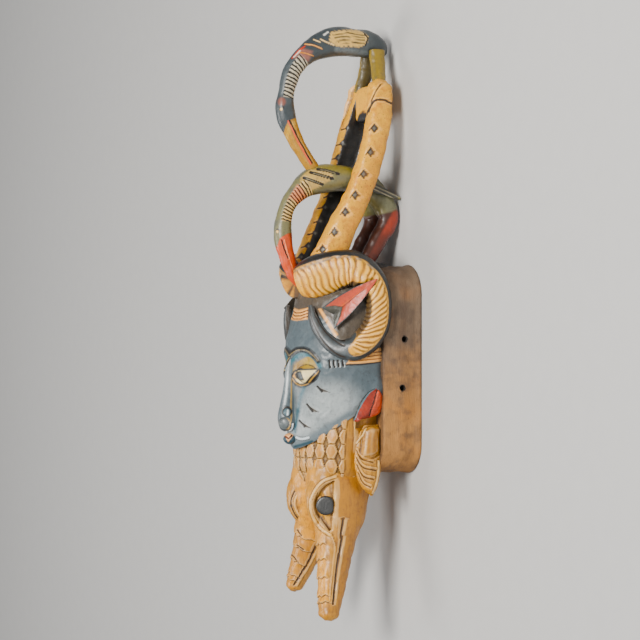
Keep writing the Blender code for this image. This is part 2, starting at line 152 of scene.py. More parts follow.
RIM_HALF_WIDTH = 67.0
RIM_TOP = 53.5
RIM_FOOT = -148.0
RIM_CORNER = 30.0
RIM_TOP_DIP = 6.0
RIM_WALL = 9.0
RIM_DEPTH = 41.0
RIM_FLARE = 2.0
HOLE_RADIUS = 2.9
HOLE_PLACES = ((-18.3, 18.1), (-64.8, 20.6))
HOLLOW_STRAIGHT = 31.0
HOLLOW_MOUTH = (58.0, 44.5, -139.0, 6.0)
HOLLOW_FULLNESS = 2.3
WALL_CLEAR = 1.5
# Hollow: height along Z, half width, top and foot.
HOLLOW = (
    (37.0, 52.0, 40.0, -100.0),
    (54.0, 46.0, 33.0, -88.0),
    (67.0, 40.0, 25.0, -82.0),
    (79.0, 31.0, 13.0, -72.0),
    (87.0, 19.0, -5.0, -57.0),
)

RAM_HORN = (
    (11.0, 38.0, 98.0, 13.0, 16.0),
    (21.0, 39.5, 94.5, 14.0, 19.5),
    (32.0, 43.0, 87.0, 14.0, 20.5),
    (42.0, 47.5, 77.0, 13.0, 18.5),
    (51.0, 48.0, 64.0, 12.0, 16.5),
    (58.0, 40.5, 53.5, 11.5, 14.0),
    (62.0, 27.0, 46.5, 11.0, 12.0),
    (63.5, 11.0, 45.0, 11.0, 11.5),
    (63.5, -5.0, 48.0, 11.0, 12.0),
    (61.0, -18.5, 56.0, 11.0, 12.5),
    (55.5, -27.0, 66.5, 10.5, 11.0),
    (48.5, -27.5, 77.0, 9.5, 9.8),
    (41.0, -21.0, 86.5, 8.5, 8.3),
    (34.5, -10.0, 93.5, 7.0, 6.0),
    (30.0, 3.0, 98.0, 5.0, 4.2),
    (27.0, 14.0, 99.5, 2.5, 2.0),
)
ANTELOPE_HORN = (
    (12.0, 34.0, 95.0, 9.0, 9.0),
    (17.0, 49.0, 86.0, 11.0, 12.5),
    (20.0, 62.0, 77.0, 12.0, 14.0),
    (24.0, 89.0, 65.0, 11.0, 13.5),
    (28.0, 114.0, 53.0, 10.5, 12.2),
    (31.0, 145.0, 41.5, 10.0, 11.8),
    (31.0, 174.0, 33.0, 10.0, 11.7),
    (27.5, 203.0, 26.5, 10.0, 11.7),
    (23.5, 220.0, 24.0, 10.0, 11.5),
    (22.0, 228.5, 23.5, 8.5, 10.0),
    (21.5, 232.5, 23.0, 4.5, 5.5),
)
UPPER_BIRD = (
    (0.0, 260.0, 7.5, 4.0, 4.5),
    (0.0, 265.5, 12.6, 8.0, 9.8),
    (0.0, 270.5, 25.0, 11.5, 13.4),
    (0.0, 271.0, 40.5, 13.0, 14.3),
    (0.0, 271.4, 57.0, 14.0, 15.6),
    (0.0, 267.0, 75.0, 12.8, 14.0),
    (0.0, 260.8, 87.0, 11.0, 11.8),
    (0.0, 251.5, 98.0, 9.6, 10.3),
    (0.0, 240.5, 106.5, 9.0, 9.7),
    (0.0, 228.0, 111.0, 8.5, 9.2),
    (0.0, 217.0, 113.2, 8.0, 8.6),
    (0.0, 207.0, 114.5, 9.4, 9.8),
    (0.0, 195.0, 112.8, 9.2, 10.2),
    (0.0, 182.0, 107.2, 8.0, 8.9),
    (0.0, 170.0, 101.0, 7.4, 8.3),
    (0.0, 158.5, 93.0, 6.8, 7.6),
    (0.0, 149.0, 86.0, 6.2, 7.2),
    (0.0, 142.0, 80.0, 5.0, 6.0),
)
LOWER_BIRD = (
    (0.0, 121.5, 9.0, 6.0, 5.0),
    (0.0, 127.0, 16.0, 10.0, 9.5),
    (0.0, 131.5, 25.0, 14.0, 11.5),
    (0.0, 136.0, 38.0, 18.5, 12.3),
    (0.0, 137.8, 49.0, 19.5, 12.8),
    (0.0, 138.0, 62.0, 18.0, 13.8),
    (0.0, 137.0, 75.0, 15.0, 14.6),
    (0.0, 132.5, 89.0, 12.5, 13.4),
    (0.0, 124.7, 99.4, 10.0, 10.6),
    (0.0, 115.8, 107.8, 8.6, 8.8),
    (0.0, 103.0, 114.0, 8.0, 8.2),
    (0.0, 90.5, 116.2, 9.2, 9.0),
    (0.0, 77.0, 116.0, 8.8, 9.2),
    (0.0, 63.6, 113.0, 7.4, 8.3),
    (0.0, 51.0, 108.5, 6.2, 7.4),
    (0.0, 40.0, 104.0, 5.0, 5.8),
    (0.0, 34.0, 99.0, 3.8, 4.2),
)
UPPER_LEG = (
    (9.0, 263.0, 20.5, 5.5, 8.0),
    (12.0, 250.0, 20.8, 5.8, 7.6),
    (15.5, 240.0, 21.8, 6.0, 7.0),
    (19.0, 232.0, 23.0, 6.2, 6.6),
    (21.0, 224.0, 24.0, 6.0, 6.0),
)
LOWER_LEG = (
    (9.0, 131.0, 33.0, 6.5, 10.5),
    (12.0, 120.0, 20.5, 7.8, 11.5),
    (14.5, 109.5, 13.8, 8.2, 11.2),
    (16.0, 100.0, 11.4, 7.8, 10.2),
    (16.0, 90.5, 14.2, 7.4, 9.2),
    (15.3, 80.0, 21.0, 7.0, 8.8),
    (15.3, 68.0, 28.0, 6.8, 8.4),
    (15.3, 57.0, 35.0, 6.6, 8.0),
    (15.3, 47.0, 42.0, 6.0, 7.0),
)
SNOUT_HEAD = (
    (14.0, -118.0, 64.0, 15.0, 22.0),
    (16.5, -140.0, 66.5, 21.0, 28.5),
    (19.0, -158.0, 67.5, 24.0, 30.0),
    (21.0, -172.0, 68.0, 24.5, 28.5),
    (23.0, -185.0, 68.5, 23.0, 25.5),
    (25.0, -198.0, 70.0, 20.5, 22.0),
    (27.0, -211.0, 72.5, 17.5, 18.6),
    (30.5, -230.0, 76.0, 14.5, 15.6),
    (34.0, -248.0, 79.5, 12.5, 13.4),
    (37.5, -263.0, 82.8, 11.0, 11.4),
    (40.5, -275.0, 85.5, 9.8, 9.8),
    (42.0, -282.5, 87.3, 7.8, 7.6),
    (42.3, -286.0, 87.7, 3.4, 3.4),
)
SNOUT_START = -198.0
# By side, 1 for the mask's left and -1 for its right.
SNOUT_LENGTHS = {1: 1.0, -1: 0.79}
SNOUT_THICKNESS = {1: 1.0, -1: 0.86}
SNOUT_RINGS = (-216.5, -230.5, -247.5, -264.0)
BULGE_PLACE = (23.5, -172.0, 83.5)
BULGE_HALF = (13.0, 27.0, 18.5)

# Wing: root, tip, the way its face looks, half width and thickness.
WING = ((13.0, 139.0, 50.0), (22.5, 118.0, 2.0), (0.75, 0.60, -0.28), 9.5, 3.4)
# Block between the horns' tips: half width, foot and top along Y, low and high along Z.
HORN_BRIDGE = (21.0, (194.0, 229.0), (17.0, 31.0))
NOSE = (
    (0.0, -30.0, 103.0, 3.0, 4.0),
    (0.0, -42.0, 106.5, 4.2, 6.0),
    (0.0, -55.0, 107.0, 4.8, 7.2),
    (0.0, -70.0, 107.5, 5.6, 9.0),
    (0.0, -84.0, 108.5, 6.8, 11.0),
    (0.0, -95.0, 109.5, 8.6, 11.8),
    (0.0, -101.5, 109.5, 9.2, 10.6),
    (0.0, -105.5, 108.5, 6.2, 7.0),
)
EYE_PLACE = (25.5, -51.5)
EYE_HALF = (13.5, 9.5, 6.5)
MOUTH_PLACE = -114.5
MOUTH_HALF = (8.5, 5.5, 6.5)

# What turns the mask's left side into its right.
FLIP = np.array([-1.0, 1.0, 1.0])


def through(stations, count):
    """A smooth curve through the stations: cubic spans whose slopes follow the neighbouring chords.

    A span is the two stations and the two slopes, each times its cubic of the share t of the way between
    them: (1 + 2t)(1 - t)^2 and t(1 - t)^2 for the first, (3 - 2t)t^2 and -(1 - t)t^2 for the second.
    """
    points = np.asarray(stations, float)
    chords = np.linalg.norm(np.diff(points[:, :3], axis=0), axis=1)
    run = np.concatenate([[0.0], np.cumsum(chords)])
    slope = np.gradient(points, run, axis=0)
    place = np.linspace(0.0, run[-1], count)
    span = np.clip(np.searchsorted(run, place, side="right") - 1, 0, len(run) - 2)
    width = (run[span + 1] - run[span])[:, None]
    share = (place - run[span])[:, None] / width
    rest = 1 - share
    return (
        points[span] * (1 + 2 * share) * rest**2
        + slope[span] * width * share * rest**2
        + points[span + 1] * (3 - 2 * share) * share**2
        - slope[span + 1] * width * rest * share**2
    )


def unit_vectors(rows):
    """Each row divided by its length."""
    return rows / np.maximum(np.linalg.norm(rows, axis=-1, keepdims=True), 1e-9)


def superellipse(angle, half_x, half_y, fullness):
    """The section |x/a|^n + |y/b|^n = 1 at the given angles."""
    power = 2.0 / fullness
    c, s = np.cos(angle), np.sin(angle)
    return half_x * np.sign(c) * np.abs(c) ** power, half_y * np.sign(s) * np.abs(s) ** power


def ramp(value, low, high):
    """0 below low, 1 above high, and 3t^2 - 2t^3 between them."""
    share = np.clip((value - low) / (high - low), 0.0, 1.0)
    return share * share * (3 - 2 * share)


def turn_of(count):
    """Angles once round."""
    return np.arange(count) * 2 * math.pi / count


def sweep(stations, rings, around, fullness=2.2):
    """Rings of a tube through the stations, square to its line, with one half axis kept near X."""
    curve = through(stations, rings)
    line = curve[:, :3]
    along = unit_vectors(np.gradient(line, axis=0))
    side = unit_vectors(np.array([1.0, 0.0, 0.0]) - along[:, :1] * along)
    across = np.cross(along, side)
    u, v = superellipse(turn_of(around)[None, :], curve[:, 3:4], curve[:, 4:5], fullness)
    return line[:, None, :] + u[..., None] * side[:, None, :] + v[..., None] * across[:, None, :]


def ball(centre, half, rings, around):
    """An ellipsoid as rings along Y: half axes times the cosines and sines of two angles."""
    tilt = np.linspace(-0.492 * math.pi, 0.492 * math.pi, rings)[:, None]
    angle = turn_of(around)
    x = centre[0] + half[0] * np.cos(tilt) * np.cos(angle)
    z = centre[2] + half[2] * np.cos(tilt) * np.sin(angle)
    y = centre[1] + half[1] * np.sin(tilt) * np.ones_like(angle)
    return np.stack([x, y, z], axis=-1)


LEAF_PLACES = (0.0, 0.16, 0.35, 0.6, 1.0)
LEAF_WIDTHS = (0.65, 0.98, 1.0, 0.72, 0.06)


def leaf(shape, rings, around):
    """A leaf from root to tip.

    Its width follows a table, its section is a round times 1.25 less half the way out.
    """
    root, tip, look, half, thick = shape
    root, tip, look = (np.array(v, float) for v in (root, tip, look))
    along = unit_vectors(tip - root)
    look = unit_vectors(look - along * (look @ along))
    side = np.cross(along, look)
    share = np.linspace(0.0, 1.0, rings)[:, None]
    angle = turn_of(around)[None, :]
    across = np.cos(angle)
    width = half * np.interp(share, LEAF_PLACES, LEAF_WIDTHS)
    depth = thick * (1 - 0.65 * share)
    v = depth * np.sin(angle) * (1.25 - 0.5 * np.abs(across))
    return root + share[..., None] * (tip - root) + (width * across)[..., None] * side + v[..., None] * look


def chart(points, fold=True):
    """Where places of the mask, in carver's units, fall in the side drawing: their offset over their depth.

    Folded, the right half mirrors the left.
    """
    places = points * UNIT
    if fold:
        places[..., 0] = np.abs(places[..., 0])
    offset = places - AIM
    depth = AWAY - offset @ TOWARDS
    return MIDDLE + DRAWN * (offset @ ACROSS) / depth, MIDDLE - DRAWN * places[..., 1] / depth


def from_path(u, v, path):
    """Distance in the drawing to a path: the least to the nearest place on each straight piece."""
    best = np.full(u.shape, 1e9)
    for (x0, y0), (x1, y1) in zip(path[:-1], path[1:]):
        dx, dy = x1 - x0, y1 - y0
        share = np.clip(((u - x0) * dx + (v - y0) * dy) / (dx * dx + dy * dy + 1e-9), 0.0, 1.0)
        best = np.minimum(best, np.hypot(u - x0 - share * dx, v - y0 - share * dy))
    return best


def within(u, v, outline):
    """Distance to an outline in the drawing, positive inside it.

    Inside is where a line to one side crosses the outline an odd number of times.
    """
    closed = list(outline) + [outline[0]]
    inside = np.zeros(u.shape, bool)
    for (x0, y0), (x1, y1) in zip(closed[:-1], closed[1:]):
        if y0 != y1:
            crosses = (y0 > v) != (y1 > v)
            inside ^= crosses & (u < x0 + (v - y0) / (y1 - y0) * (x1 - x0))
    away = from_path(u, v, closed)
    return np.where(inside, away, -away)


def curved(path, count=24):
    """A drawn path smoothed through its points."""
    return through(path, count)[:, :2]


def grid_normals(grid):
    """The cross product of the slopes along and around, turned away from the middle of each ring."""
    along = np.gradient(grid, axis=0)
    around = (np.roll(grid, -1, axis=1) - np.roll(grid, 1, axis=1)) / 2
    normal = unit_vectors(np.cross(along, around))
    outward = grid - grid.mean(axis=1, keepdims=True)
    return normal * np.sign((normal * outward).sum())


def lump(x, y, z, size, seed=0.0):
    """Slow irregular waves from -1 to 1: sines in spread directions, over places bent by sines too."""
    rate = 2 * math.pi / size
    x, y, z = (
        x + 0.3 * size * np.sin(0.63 * rate * y + seed),
        y + 0.3 * size * np.sin(0.71 * rate * z + 1.3 * seed + 1.0),
        z + 0.3 * size * np.sin(0.57 * rate * x + 2.1 * seed + 2.0),
    )
    total = np.zeros_like(x)
    for k in range(8):
        rise = 1 - (2 * k + 1) / 8
        turn = 2.39996 * k + seed
        flat = math.sqrt(1 - rise * rise)
        along = flat * math.cos(turn) * x + flat * math.sin(turn) * y + rise * z
        total += np.sin(rate * (0.6 + 0.19 * k) * along + 5.1 * k + seed) / (1 + 0.25 * k)
    return np.clip(total / 2.4, -1.0, 1.0)


class Skin:
    """A piece's surface as a ring grid, with its paint, grime and painted shade, bare wood and lift at each
    place.
    """

    def __init__(self, grid, paint, fold=True):
        self.grid = grid
        self.normals = grid_normals(grid)
        shape = grid.shape[:2]
        self.paint = np.empty(shape + (3,))
        self.paint[:] = linear(paint)
        self.grime = np.zeros(shape)
        self.bare = np.zeros(shape)
        self.lift = np.zeros(shape)
        self.swell = np.zeros(shape)
        self.u, self.v = chart(grid, fold)
        side = np.ones(grid.shape)
        if fold:
            side[..., 0] = np.where(grid[..., 0] < 0, -1.0, 1.0)
        self.facing = (self.normals * side) @ TOWARDS
        self.share = np.linspace(0.0, 1.0, shape[0])[:, None] * np.ones(shape)
        self.angle = turn_of(shape[1])[None, :] * np.ones(shape)

    def coat(self, cover, paint):
        """Paint laid over by a share from 0 to 1."""
        cover = np.clip(cover, 0.0, 1.0)[..., None]
        self.paint = self.paint * (1 - cover) + linear(paint) * cover

    def seen(self, cover, all_round):
        """The share, kept to the side that the drawing shows."""
        return cover if all_round else cover * ramp(self.facing, -0.12, 0.08)

    def area(self, outline, paint, soft=0.5, lift=0.0, slope=2.0, all_round=False):
        """A painted field: full inside the outline, fading over a soft edge, raised over a slope."""
        away = within(self.u, self.v, outline)
        self.coat(self.seen(ramp(away, -soft, soft), all_round), paint)
        if lift:
            self.lift += self.seen(lift * ramp(away, -0.3, slope), all_round)

    def line(self, path, paint, width=1.5, lift=0.0, soft=0.45, all_round=False):
        """A painted stroke along a path, raised or cut by a lift of half-round section."""
        away = from_path(self.u, self.v, path)
        self.coat(self.seen(1 - ramp(away, width / 2 - soft, width / 2 + soft), all_round), paint)
        if lift:
            reach = max(width / 2 + 0.3, 0.9)
            self.lift += self.seen(lift * np.sqrt(np.clip(1 - (away / reach) ** 2, 0.0, 1.0)), all_round)
        if lift < 0:
            dirt_and_shade = 0.7 * (1 - ramp(away, width / 2 - 0.3, width / 2 + 0.4))
            self.grime = np.maximum(self.grime, self.seen(dirt_and_shade, all_round))

    def lines(self, strokes):
        """Each stroke of a table: path, paint, width and, where given, lift and softness."""
        for stroke in strokes:
            self.line(*stroke)

    def spot(self, centre, radius, paint, soft=0.45, all_round=False):
        """A painted round."""
        away = np.hypot(self.u - centre[0], self.v - centre[1])
        self.coat(self.seen(1 - ramp(away, radius - soft, radius + soft), all_round), paint)

    def waves(self, size, seed=0.0):
        """Slow waves over the surface, from -1 to 1."""
        return lump(*(self.grid[..., n] for n in range(3)), size, seed)

    def uneven(self, height, size, seed=0.0):
        """The knife's unevenness, as slow waves of a height."""
        self.swell += height * self.waves(size, seed)

    def finished(self):
        """The lifted grid, and how hollow or ridged its relief is.

        That is the neighbours' mean less the place itself, along the normal, at one step and at two, less
        most of what the plain form has.
        """
        bend = np.zeros(self.lift.shape)
        carved = self.grid + self.normals * self.lift[..., None]
        for grid, part in ((carved, 1.0), (self.grid, -0.75)):
            for reach in (1, 2):
                rows = np.concatenate([grid[:1].repeat(reach, 0), grid, grid[-1:].repeat(reach, 0)])
                mean = (rows[2 * reach :] + rows[: -2 * reach]) / 4
                mean = mean + (np.roll(grid, reach, 1) + np.roll(grid, -reach, 1)) / 4
                bend += part * ((mean - grid) * self.normals).sum(axis=-1) / reach
        return self.grid + self.normals * (self.lift + self.swell)[..., None], bend

    def mirror(self):
        """The same skin on the mask's right."""
        other = Skin.__new__(Skin)
        other.__dict__.update(self.__dict__)
        other.grid = self.grid * FLIP
        other.normals = self.normals * FLIP
        return other


def both(skin):
    """A skin and its mirror."""
    return [skin, skin.mirror()]


def grid_faces(rows, around):
    """Quads between neighbouring rings, and a fan from each end ring to its pole."""
    i, j = np.meshgrid(np.arange(rows - 1), np.arange(around), indexing="ij")
    k = (j + 1) % around
    quads = np.stack([i * around + j, i * around + k, (i + 1) * around + k, (i + 1) * around + j], axis=-1)
    j = np.arange(around)
    k = (j + 1) % around
    first, last = rows * around, rows * around + 1
    start = np.stack([np.full(around, first), k, j], axis=-1)
    end = np.stack([np.full(around, last), (rows - 1) * around + j, (rows - 1) * around + k], axis=-1)
    return quads.reshape(-1, 4), np.concatenate([start, end])


def build(name, skins, material, crease=55.0):
    """One mesh object from skins: rings and poles as points, quads and fans as faces, wear and painted shade
    as attributes.

    Faces are turned to look outwards where the volume, summed over the corners' products, is negative.
    """
    points, quads, fans, colours, floats = [], [], [], [], {"grime": [], "bare": [], "bend": []}
    base = 0
    for skin in skins:
        grid, bend = skin.finished()
        rows, around = grid.shape[:2]
        place = np.concatenate([grid.reshape(-1, 3), grid[:1].mean(axis=1), grid[-1:].mean(axis=1)]) * UNIT
        four, three = grid_faces(rows, around)
        a, b, c = (place[four[:, n]] for n in (0, 1, 2))
        volume = (np.cross(a, b) * c).sum() + (np.cross(a, c) * place[four[:, 3]]).sum()
        if volume < 0:
            four, three = four[:, ::-1], three[:, ::-1]
        points.append(place)
        quads.append(four + base)
        fans.append(three + base)
        base += len(place)
        for values, kept in ((skin.grime, "grime"), (skin.bare, "bare"), (bend, "bend")):
            floats[kept].append(np.concatenate([values.reshape(-1), [values[0].mean(), values[-1].mean()]]))
        colour = skin.paint.reshape(-1, 3)
        colours.append(np.concatenate([colour, skin.paint[:1].mean(axis=1), skin.paint[-1:].mean(axis=1)]))
    points, quads, fans = np.concatenate(points), np.concatenate(quads), np.concatenate(fans)
    mesh = bpy.data.meshes.new(name)
    mesh.vertices.add(len(points))
    mesh.vertices.foreach_set("co", points.astype(np.float32).reshape(-1))
    corners = np.concatenate([quads.reshape(-1), fans.reshape(-1)]).astype(np.int32)
    mesh.loops.add(len(corners))
    mesh.loops.foreach_set("vertex_index", corners)
    starts = np.concatenate([np.arange(len(quads)) * 4, len(quads) * 4 + np.arange(len(fans)) * 3])
    starts = starts.astype(np.int32)
    mesh.polygons.add(len(starts))
    mesh.polygons.foreach_set("loop_start", starts)
    mesh.update(calc_edges=True)
    colour = np.ones((len(points), 4), np.float32)
    colour[:, :3] = np.concatenate(colours)
    mesh.attributes.new("paint", "FLOAT_COLOR", "POINT").data.foreach_set("color", colour.reshape(-1))
    for kept, values in floats.items():
        data = mesh.attributes.new(kept, "FLOAT", "POINT").data
        data.foreach_set("value", np.concatenate(values).astype(np.float32))
    if mesh.validate():
        raise RuntimeError(f"{name} has faces that don't hold together")
    mesh.shade_smooth()
    mesh.set_sharp_from_angle(angle=math.radians(crease))
    mesh.materials.append(material)
    made = bpy.data.objects.new(name, mesh)
    bpy.context.scene.collection.objects.link(made)
    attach(made, "root")
    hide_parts("mask")
    return made


class Wire:
    """An output of a shader node, on which + - * / and ** add their Math nodes."""

    def __init__(self, box, socket):
        self.box, self.socket = box, socket

    def maths(self, operation, *values):
        """A Math node on the given values or wires."""
        return self.box.node("Math", {"operation": operation}, dict(enumerate(values)))

    def __add__(self, other):
        """The sum."""
        return self.maths("ADD", self, other)

    __radd__ = __add__

    def __mul__(self, other):
        """The product."""
        return self.maths("MULTIPLY", self, other)

    __rmul__ = __mul__

    def __sub__(self, other):
        """The difference."""
        return self.maths("SUBTRACT", self, other)

    def __rsub__(self, other):
        """The difference, of a number less this."""
        return self.maths("SUBTRACT", other, self)

    def __truediv__(self, other):
        """The quotient."""
        return self.maths("DIVIDE", self, other)

    def __pow__(self, other):
        """The power."""
        return self.maths("POWER", self, other)

    def ramp(self, low, high):
        """0 below low and 1 above high, smoothly."""
        kind = {"interpolation_type": "SMOOTHSTEP"}
        return self.box.node("MapRange", kind, {"Value": self, "From Min": low, "From Max": high}, "Result")

    def least(self, other):
        """The smaller of the two."""
        return self.maths("MINIMUM", self, other)

    def most(self, other):
        """The larger of the two."""
        return self.maths("MAXIMUM", self, other)


class Finish:
    """A material's nodes."""

    def __init__(self, name):
        self.material = bpy.data.materials.new(name)
        self.material.use_nodes = True
        self.tree = self.material.node_tree
        self.shader = self.tree.nodes["Principled BSDF"]

    def node(self, kind, settings=None, values=None, output=0):
        """Adds a node: its settings first, then the values or wires of its inputs."""
        made = self.tree.nodes.new("ShaderNode" + kind)
        for key, value in (settings or {}).items():
            setattr(made, key, value)
        for key, value in (values or {}).items():
            if isinstance(value, Wire):
                self.tree.links.new(value.socket, made.inputs[key])
            else:
                made.inputs[key].default_value = value
        return Wire(self, made.outputs[output])

    def attribute(self, name, output="Fac"):
        """A value, or the colour, that the mesh carries at each point."""
        return self.node("Attribute", {"attribute_name": name}, output=output)

    def place(self, scale=(1.0, 1.0, 1.0), turn=(0.0, 0.0, 0.0)):
        """Object coordinates, stretched and turned."""
        where = self.node("TexCoord", output="Object")
        return self.node("Mapping", None, {"Vector": where, "Scale": scale, "Rotation": turn})

    def noise(self, where, scale, detail=4.0, rough=0.55, distort=0.0):
        """Cloudy noise from about 0 to 1."""
        values = {
            "Vector": where, "Scale": scale, "Detail": detail, "Roughness": rough, "Distortion": distort,
        }
        return self.node("TexNoise", None, values, "Fac")

    def blend(self, share, first, second, kind="MIX"):
        """Two colours mixed by a share, or multiplied or overlaid."""
        kinds = {"data_type": "RGBA", "blend_type": kind}
        return self.node("Mix", kinds, {0: share, 6: first, 7: second}, 2)

    def tone(self, colour, value, richness=1.0):
        """A colour with its lightness and its saturation scaled."""
        return self.node("HueSaturation", None, {"Color": colour, "Value": value, "Saturation": richness})

    def bump(self, height, strength, distance):
        """Normals tipped by a height."""
        return self.node("Bump", None, {"Height": height, "Strength": strength, "Distance": distance})

    def set(self, **values):
        """Puts values or wires on the shader's own sockets."""
        for key, value in values.items():
            socket = self.shader.inputs[key.replace("_", " ").title()]
            if isinstance(value, Wire):
                self.tree.links.new(value.socket, socket)
            else:
                socket.default_value = value
        return self.material


def onto(path, x):
    """The places of a drawn path where its lines of sight reach a distance from the middle plane."""
    path = np.asarray(path, float)
    slant = ACROSS[0] * (path[:, 0] - MIDDLE) / DRAWN
    off = (x * UNIT - slant * AWAY) / (TOWARDS[0] - slant)
    spread = ((AWAY - off) / DRAWN)[:, None]
    places = AIM + off[:, None] * TOWARDS + (path[:, :1] - MIDDLE) * spread * ACROSS
    places[:, 1] += (MIDDLE - path[:, 1]) * spread[:, 0]
    return places / UNIT


def flap(left, right, x, thick, rings, around):
    """A flap set out on the drawing: rings from its left edge to its right, at distances from the middle.

    Its thickness goes with the root of the share along it times what is left of it.
    """
    first, last = onto(curved(left, rings), x[0]), onto(curved(right, rings), x[1])
    middle, half = (first + last) / 2, (last - first) / 2
    look = unit_vectors(np.cross(half, np.gradient(middle, axis=0)))
    look = look * np.sign((look * TOWARDS).sum(axis=1, keepdims=True))
    angle = turn_of(around)[None, :]
    across = np.cos(angle)
    share = np.linspace(0.0, 1.0, rings)[:, None]
    deep = thick * np.clip(share * (1 - share) * 12, 0.12, 1.0) ** 0.5
    over = deep * np.sin(angle) * (1.2 - 0.5 * np.abs(across))
    return middle[:, None, :] + across[..., None] * half[:, None, :] + over[..., None] * look[:, None, :]


def four(colour):
    """A colour with full alpha."""
    return (*map(float, linear(colour)), 1.0)


def painted_finish(name):
    """Old oil paint on carved wood.

    Mottled, streaked by the brush, grimy in its cuts, darker where painted shade is carried, and worn off
    its ridges.
    """
    box = Finish(name)
    paint = box.attribute("paint", "Color")
    grime, bend, bare = box.attribute("grime"), box.attribute("bend"), box.attribute("bare")
    where = box.place()
    broad = box.noise(where, 36.0, 3.0)
    fine = box.noise(where, 250.0, 5.0, 0.62)
    speck = box.noise(where, 820.0, 3.0, 0.6)
    stroke = box.noise(box.place((1.0, 0.35, 1.0), (0.5, 0.2, 0.7)), 300.0, 4.0, 0.62, 0.6)
    colour = box.tone(paint, 0.50 + 0.52 * broad + 0.46 * stroke, 1.18)
    thin = (fine + 0.35 * broad).ramp(0.66, 0.90) * 0.55
    colour = box.blend(thin, colour, box.tone(paint, 0.45))
    hollow = (bend * 9.0).ramp(0.12, 1.5)
    dirt_and_shade = (grime * 0.85 + hollow * 0.85) * (0.35 + 0.9 * fine)
    colour = box.blend(dirt_and_shade.least(0.94), colour, four("1f1913"))
    ridge = (bend * -9.0).ramp(0.30, 1.7)
    chip = (ridge * 0.60 + speck * 0.45 + fine * 0.42).ramp(0.80, 0.93)
    lighter = box.blend(0.10, box.tone(paint, 1.5), four("a08a66"))
    colour = box.blend(chip * 0.55, colour, lighter)
    colour = box.blend(bare, colour, box.tone(four("8a6240"), 0.75 + 0.5 * stroke))
    rough = 0.27 + 0.20 * fine + 0.14 * stroke + 0.28 * dirt_and_shade + 0.15 * chip + 0.25 * bare
    height = stroke * 0.5 + fine * 0.40 + speck * 0.12 - chip * 0.3
    normal = box.bump(height, 0.55, 0.0009)
    coat = 0.22 * (1 - dirt_and_shade.least(1.0))
    rough = rough.least(0.95)
    return box.set(base_color=colour, roughness=rough, coat_weight=coat, coat_roughness=0.22, normal=normal)


def horn_finish(name):
    """Cream paint gone golden under old varnish.

    Brown in its hollows, pale on its ridges, scratched and nicked.
    """
    box = Finish(name)
    paint = box.attribute("paint", "Color")
    grime, bend = box.attribute("grime"), box.attribute("bend")
    where = box.place()
    broad = box.noise(where, 34.0, 3.0)
    fine = box.noise(where, 230.0, 5.0, 0.65)
    stroke = box.noise(box.place((1.0, 0.3, 1.0)), 380.0, 4.0, 0.62, 0.8)
    speck = box.noise(where, 640.0, 2.0, 0.5)
    colour = box.tone(paint, 0.56 + 0.42 * broad + 0.46 * stroke, 1.16)
    stain = (broad * 0.5 + fine * 0.75).ramp(0.56, 0.80)
    colour = box.blend(stain * 0.6, colour, four("d2a070"), "MULTIPLY")
    hollow = (bend * 9.0).ramp(0.10, 1.6)
    dirt_and_shade = (grime * 0.8 + hollow * 0.7) * (0.3 + 0.9 * fine)
    colour = box.blend(dirt_and_shade.least(0.92), colour, four("3a2613"))
    ridge = (bend * -9.0).ramp(0.25, 1.6)
    colour = box.blend(ridge * 0.5 * (0.3 + broad), colour, box.tone(paint, 1.35))
    nick = speck.ramp(0.66, 0.71) * 0.75
    colour = box.blend(nick, colour, four("33271b"))
    rough = 0.30 + 0.22 * fine + 0.25 * dirt_and_shade
    normal = box.bump(stroke * 0.55 + fine * 0.45 - nick * 0.4, 0.55, 0.0009)
    coat = 0.20 * (1 - dirt_and_shade.least(1.0))
    rough = rough.least(0.95)
    return box.set(base_color=colour, roughness=rough, coat_weight=coat, coat_roughness=0.25, normal=normal)


def waxed_finish(name):
    """Waxed tan wood.

    Grain along its length, browner where the stain pooled, paler where hands have rubbed it.
    """
    box = Finish(name)
    paint = box.attribute("paint", "Color")
    grime, bend = box.attribute("grime"), box.attribute("bend")
    where = box.place()
    broad = box.noise(where, 28.0, 3.0)
    grain = box.noise(box.place((1.0, 0.12, 1.0)), 420.0, 4.0, 0.6, 0.4)
    fine = box.noise(where, 310.0, 5.0, 0.6)
    spot = box.noise(where, 120.0, 2.0, 0.5)
    colour = box.tone(paint, 0.47 + 0.60 * broad + 0.58 * grain, 1.14)
    colour = box.blend((grain + 0.3 * fine).ramp(0.58, 0.82) * 0.50, colour, four("6f4219"))
    colour = box.blend((spot * 0.7 + fine * 0.5).ramp(0.60, 0.86) * 0.35, colour, four("8a4c22"))
    colour = box.blend((fine * 0.8 + spot * 0.3).ramp(0.66, 0.76) * 0.40, colour, four("5c4026"))
    hollow = (bend * 9.0).ramp(0.10, 1.5)
    dirt_and_shade = (grime * 0.75 + hollow * 0.8) * (0.35 + 0.8 * fine)
    colour = box.blend(dirt_and_shade.least(0.9), colour, four("3a2614"))
    ridge = (bend * -9.0).ramp(0.25, 1.6)
    colour = box.blend(ridge * 0.45 * (0.4 + fine), colour, four("e2bb7c"))
    rough = 0.32 + 0.2 * fine + 0.25 * dirt_and_shade
    normal = box.bump(grain * 0.5 + fine * 0.5, 0.45, 0.0008)
    coat = 0.18 * (1 - dirt_and_shade.least(1.0))
    rough = rough.least(0.95)
    return box.set(base_color=colour, roughness=rough, coat_weight=coat, coat_roughness=0.28, normal=normal)


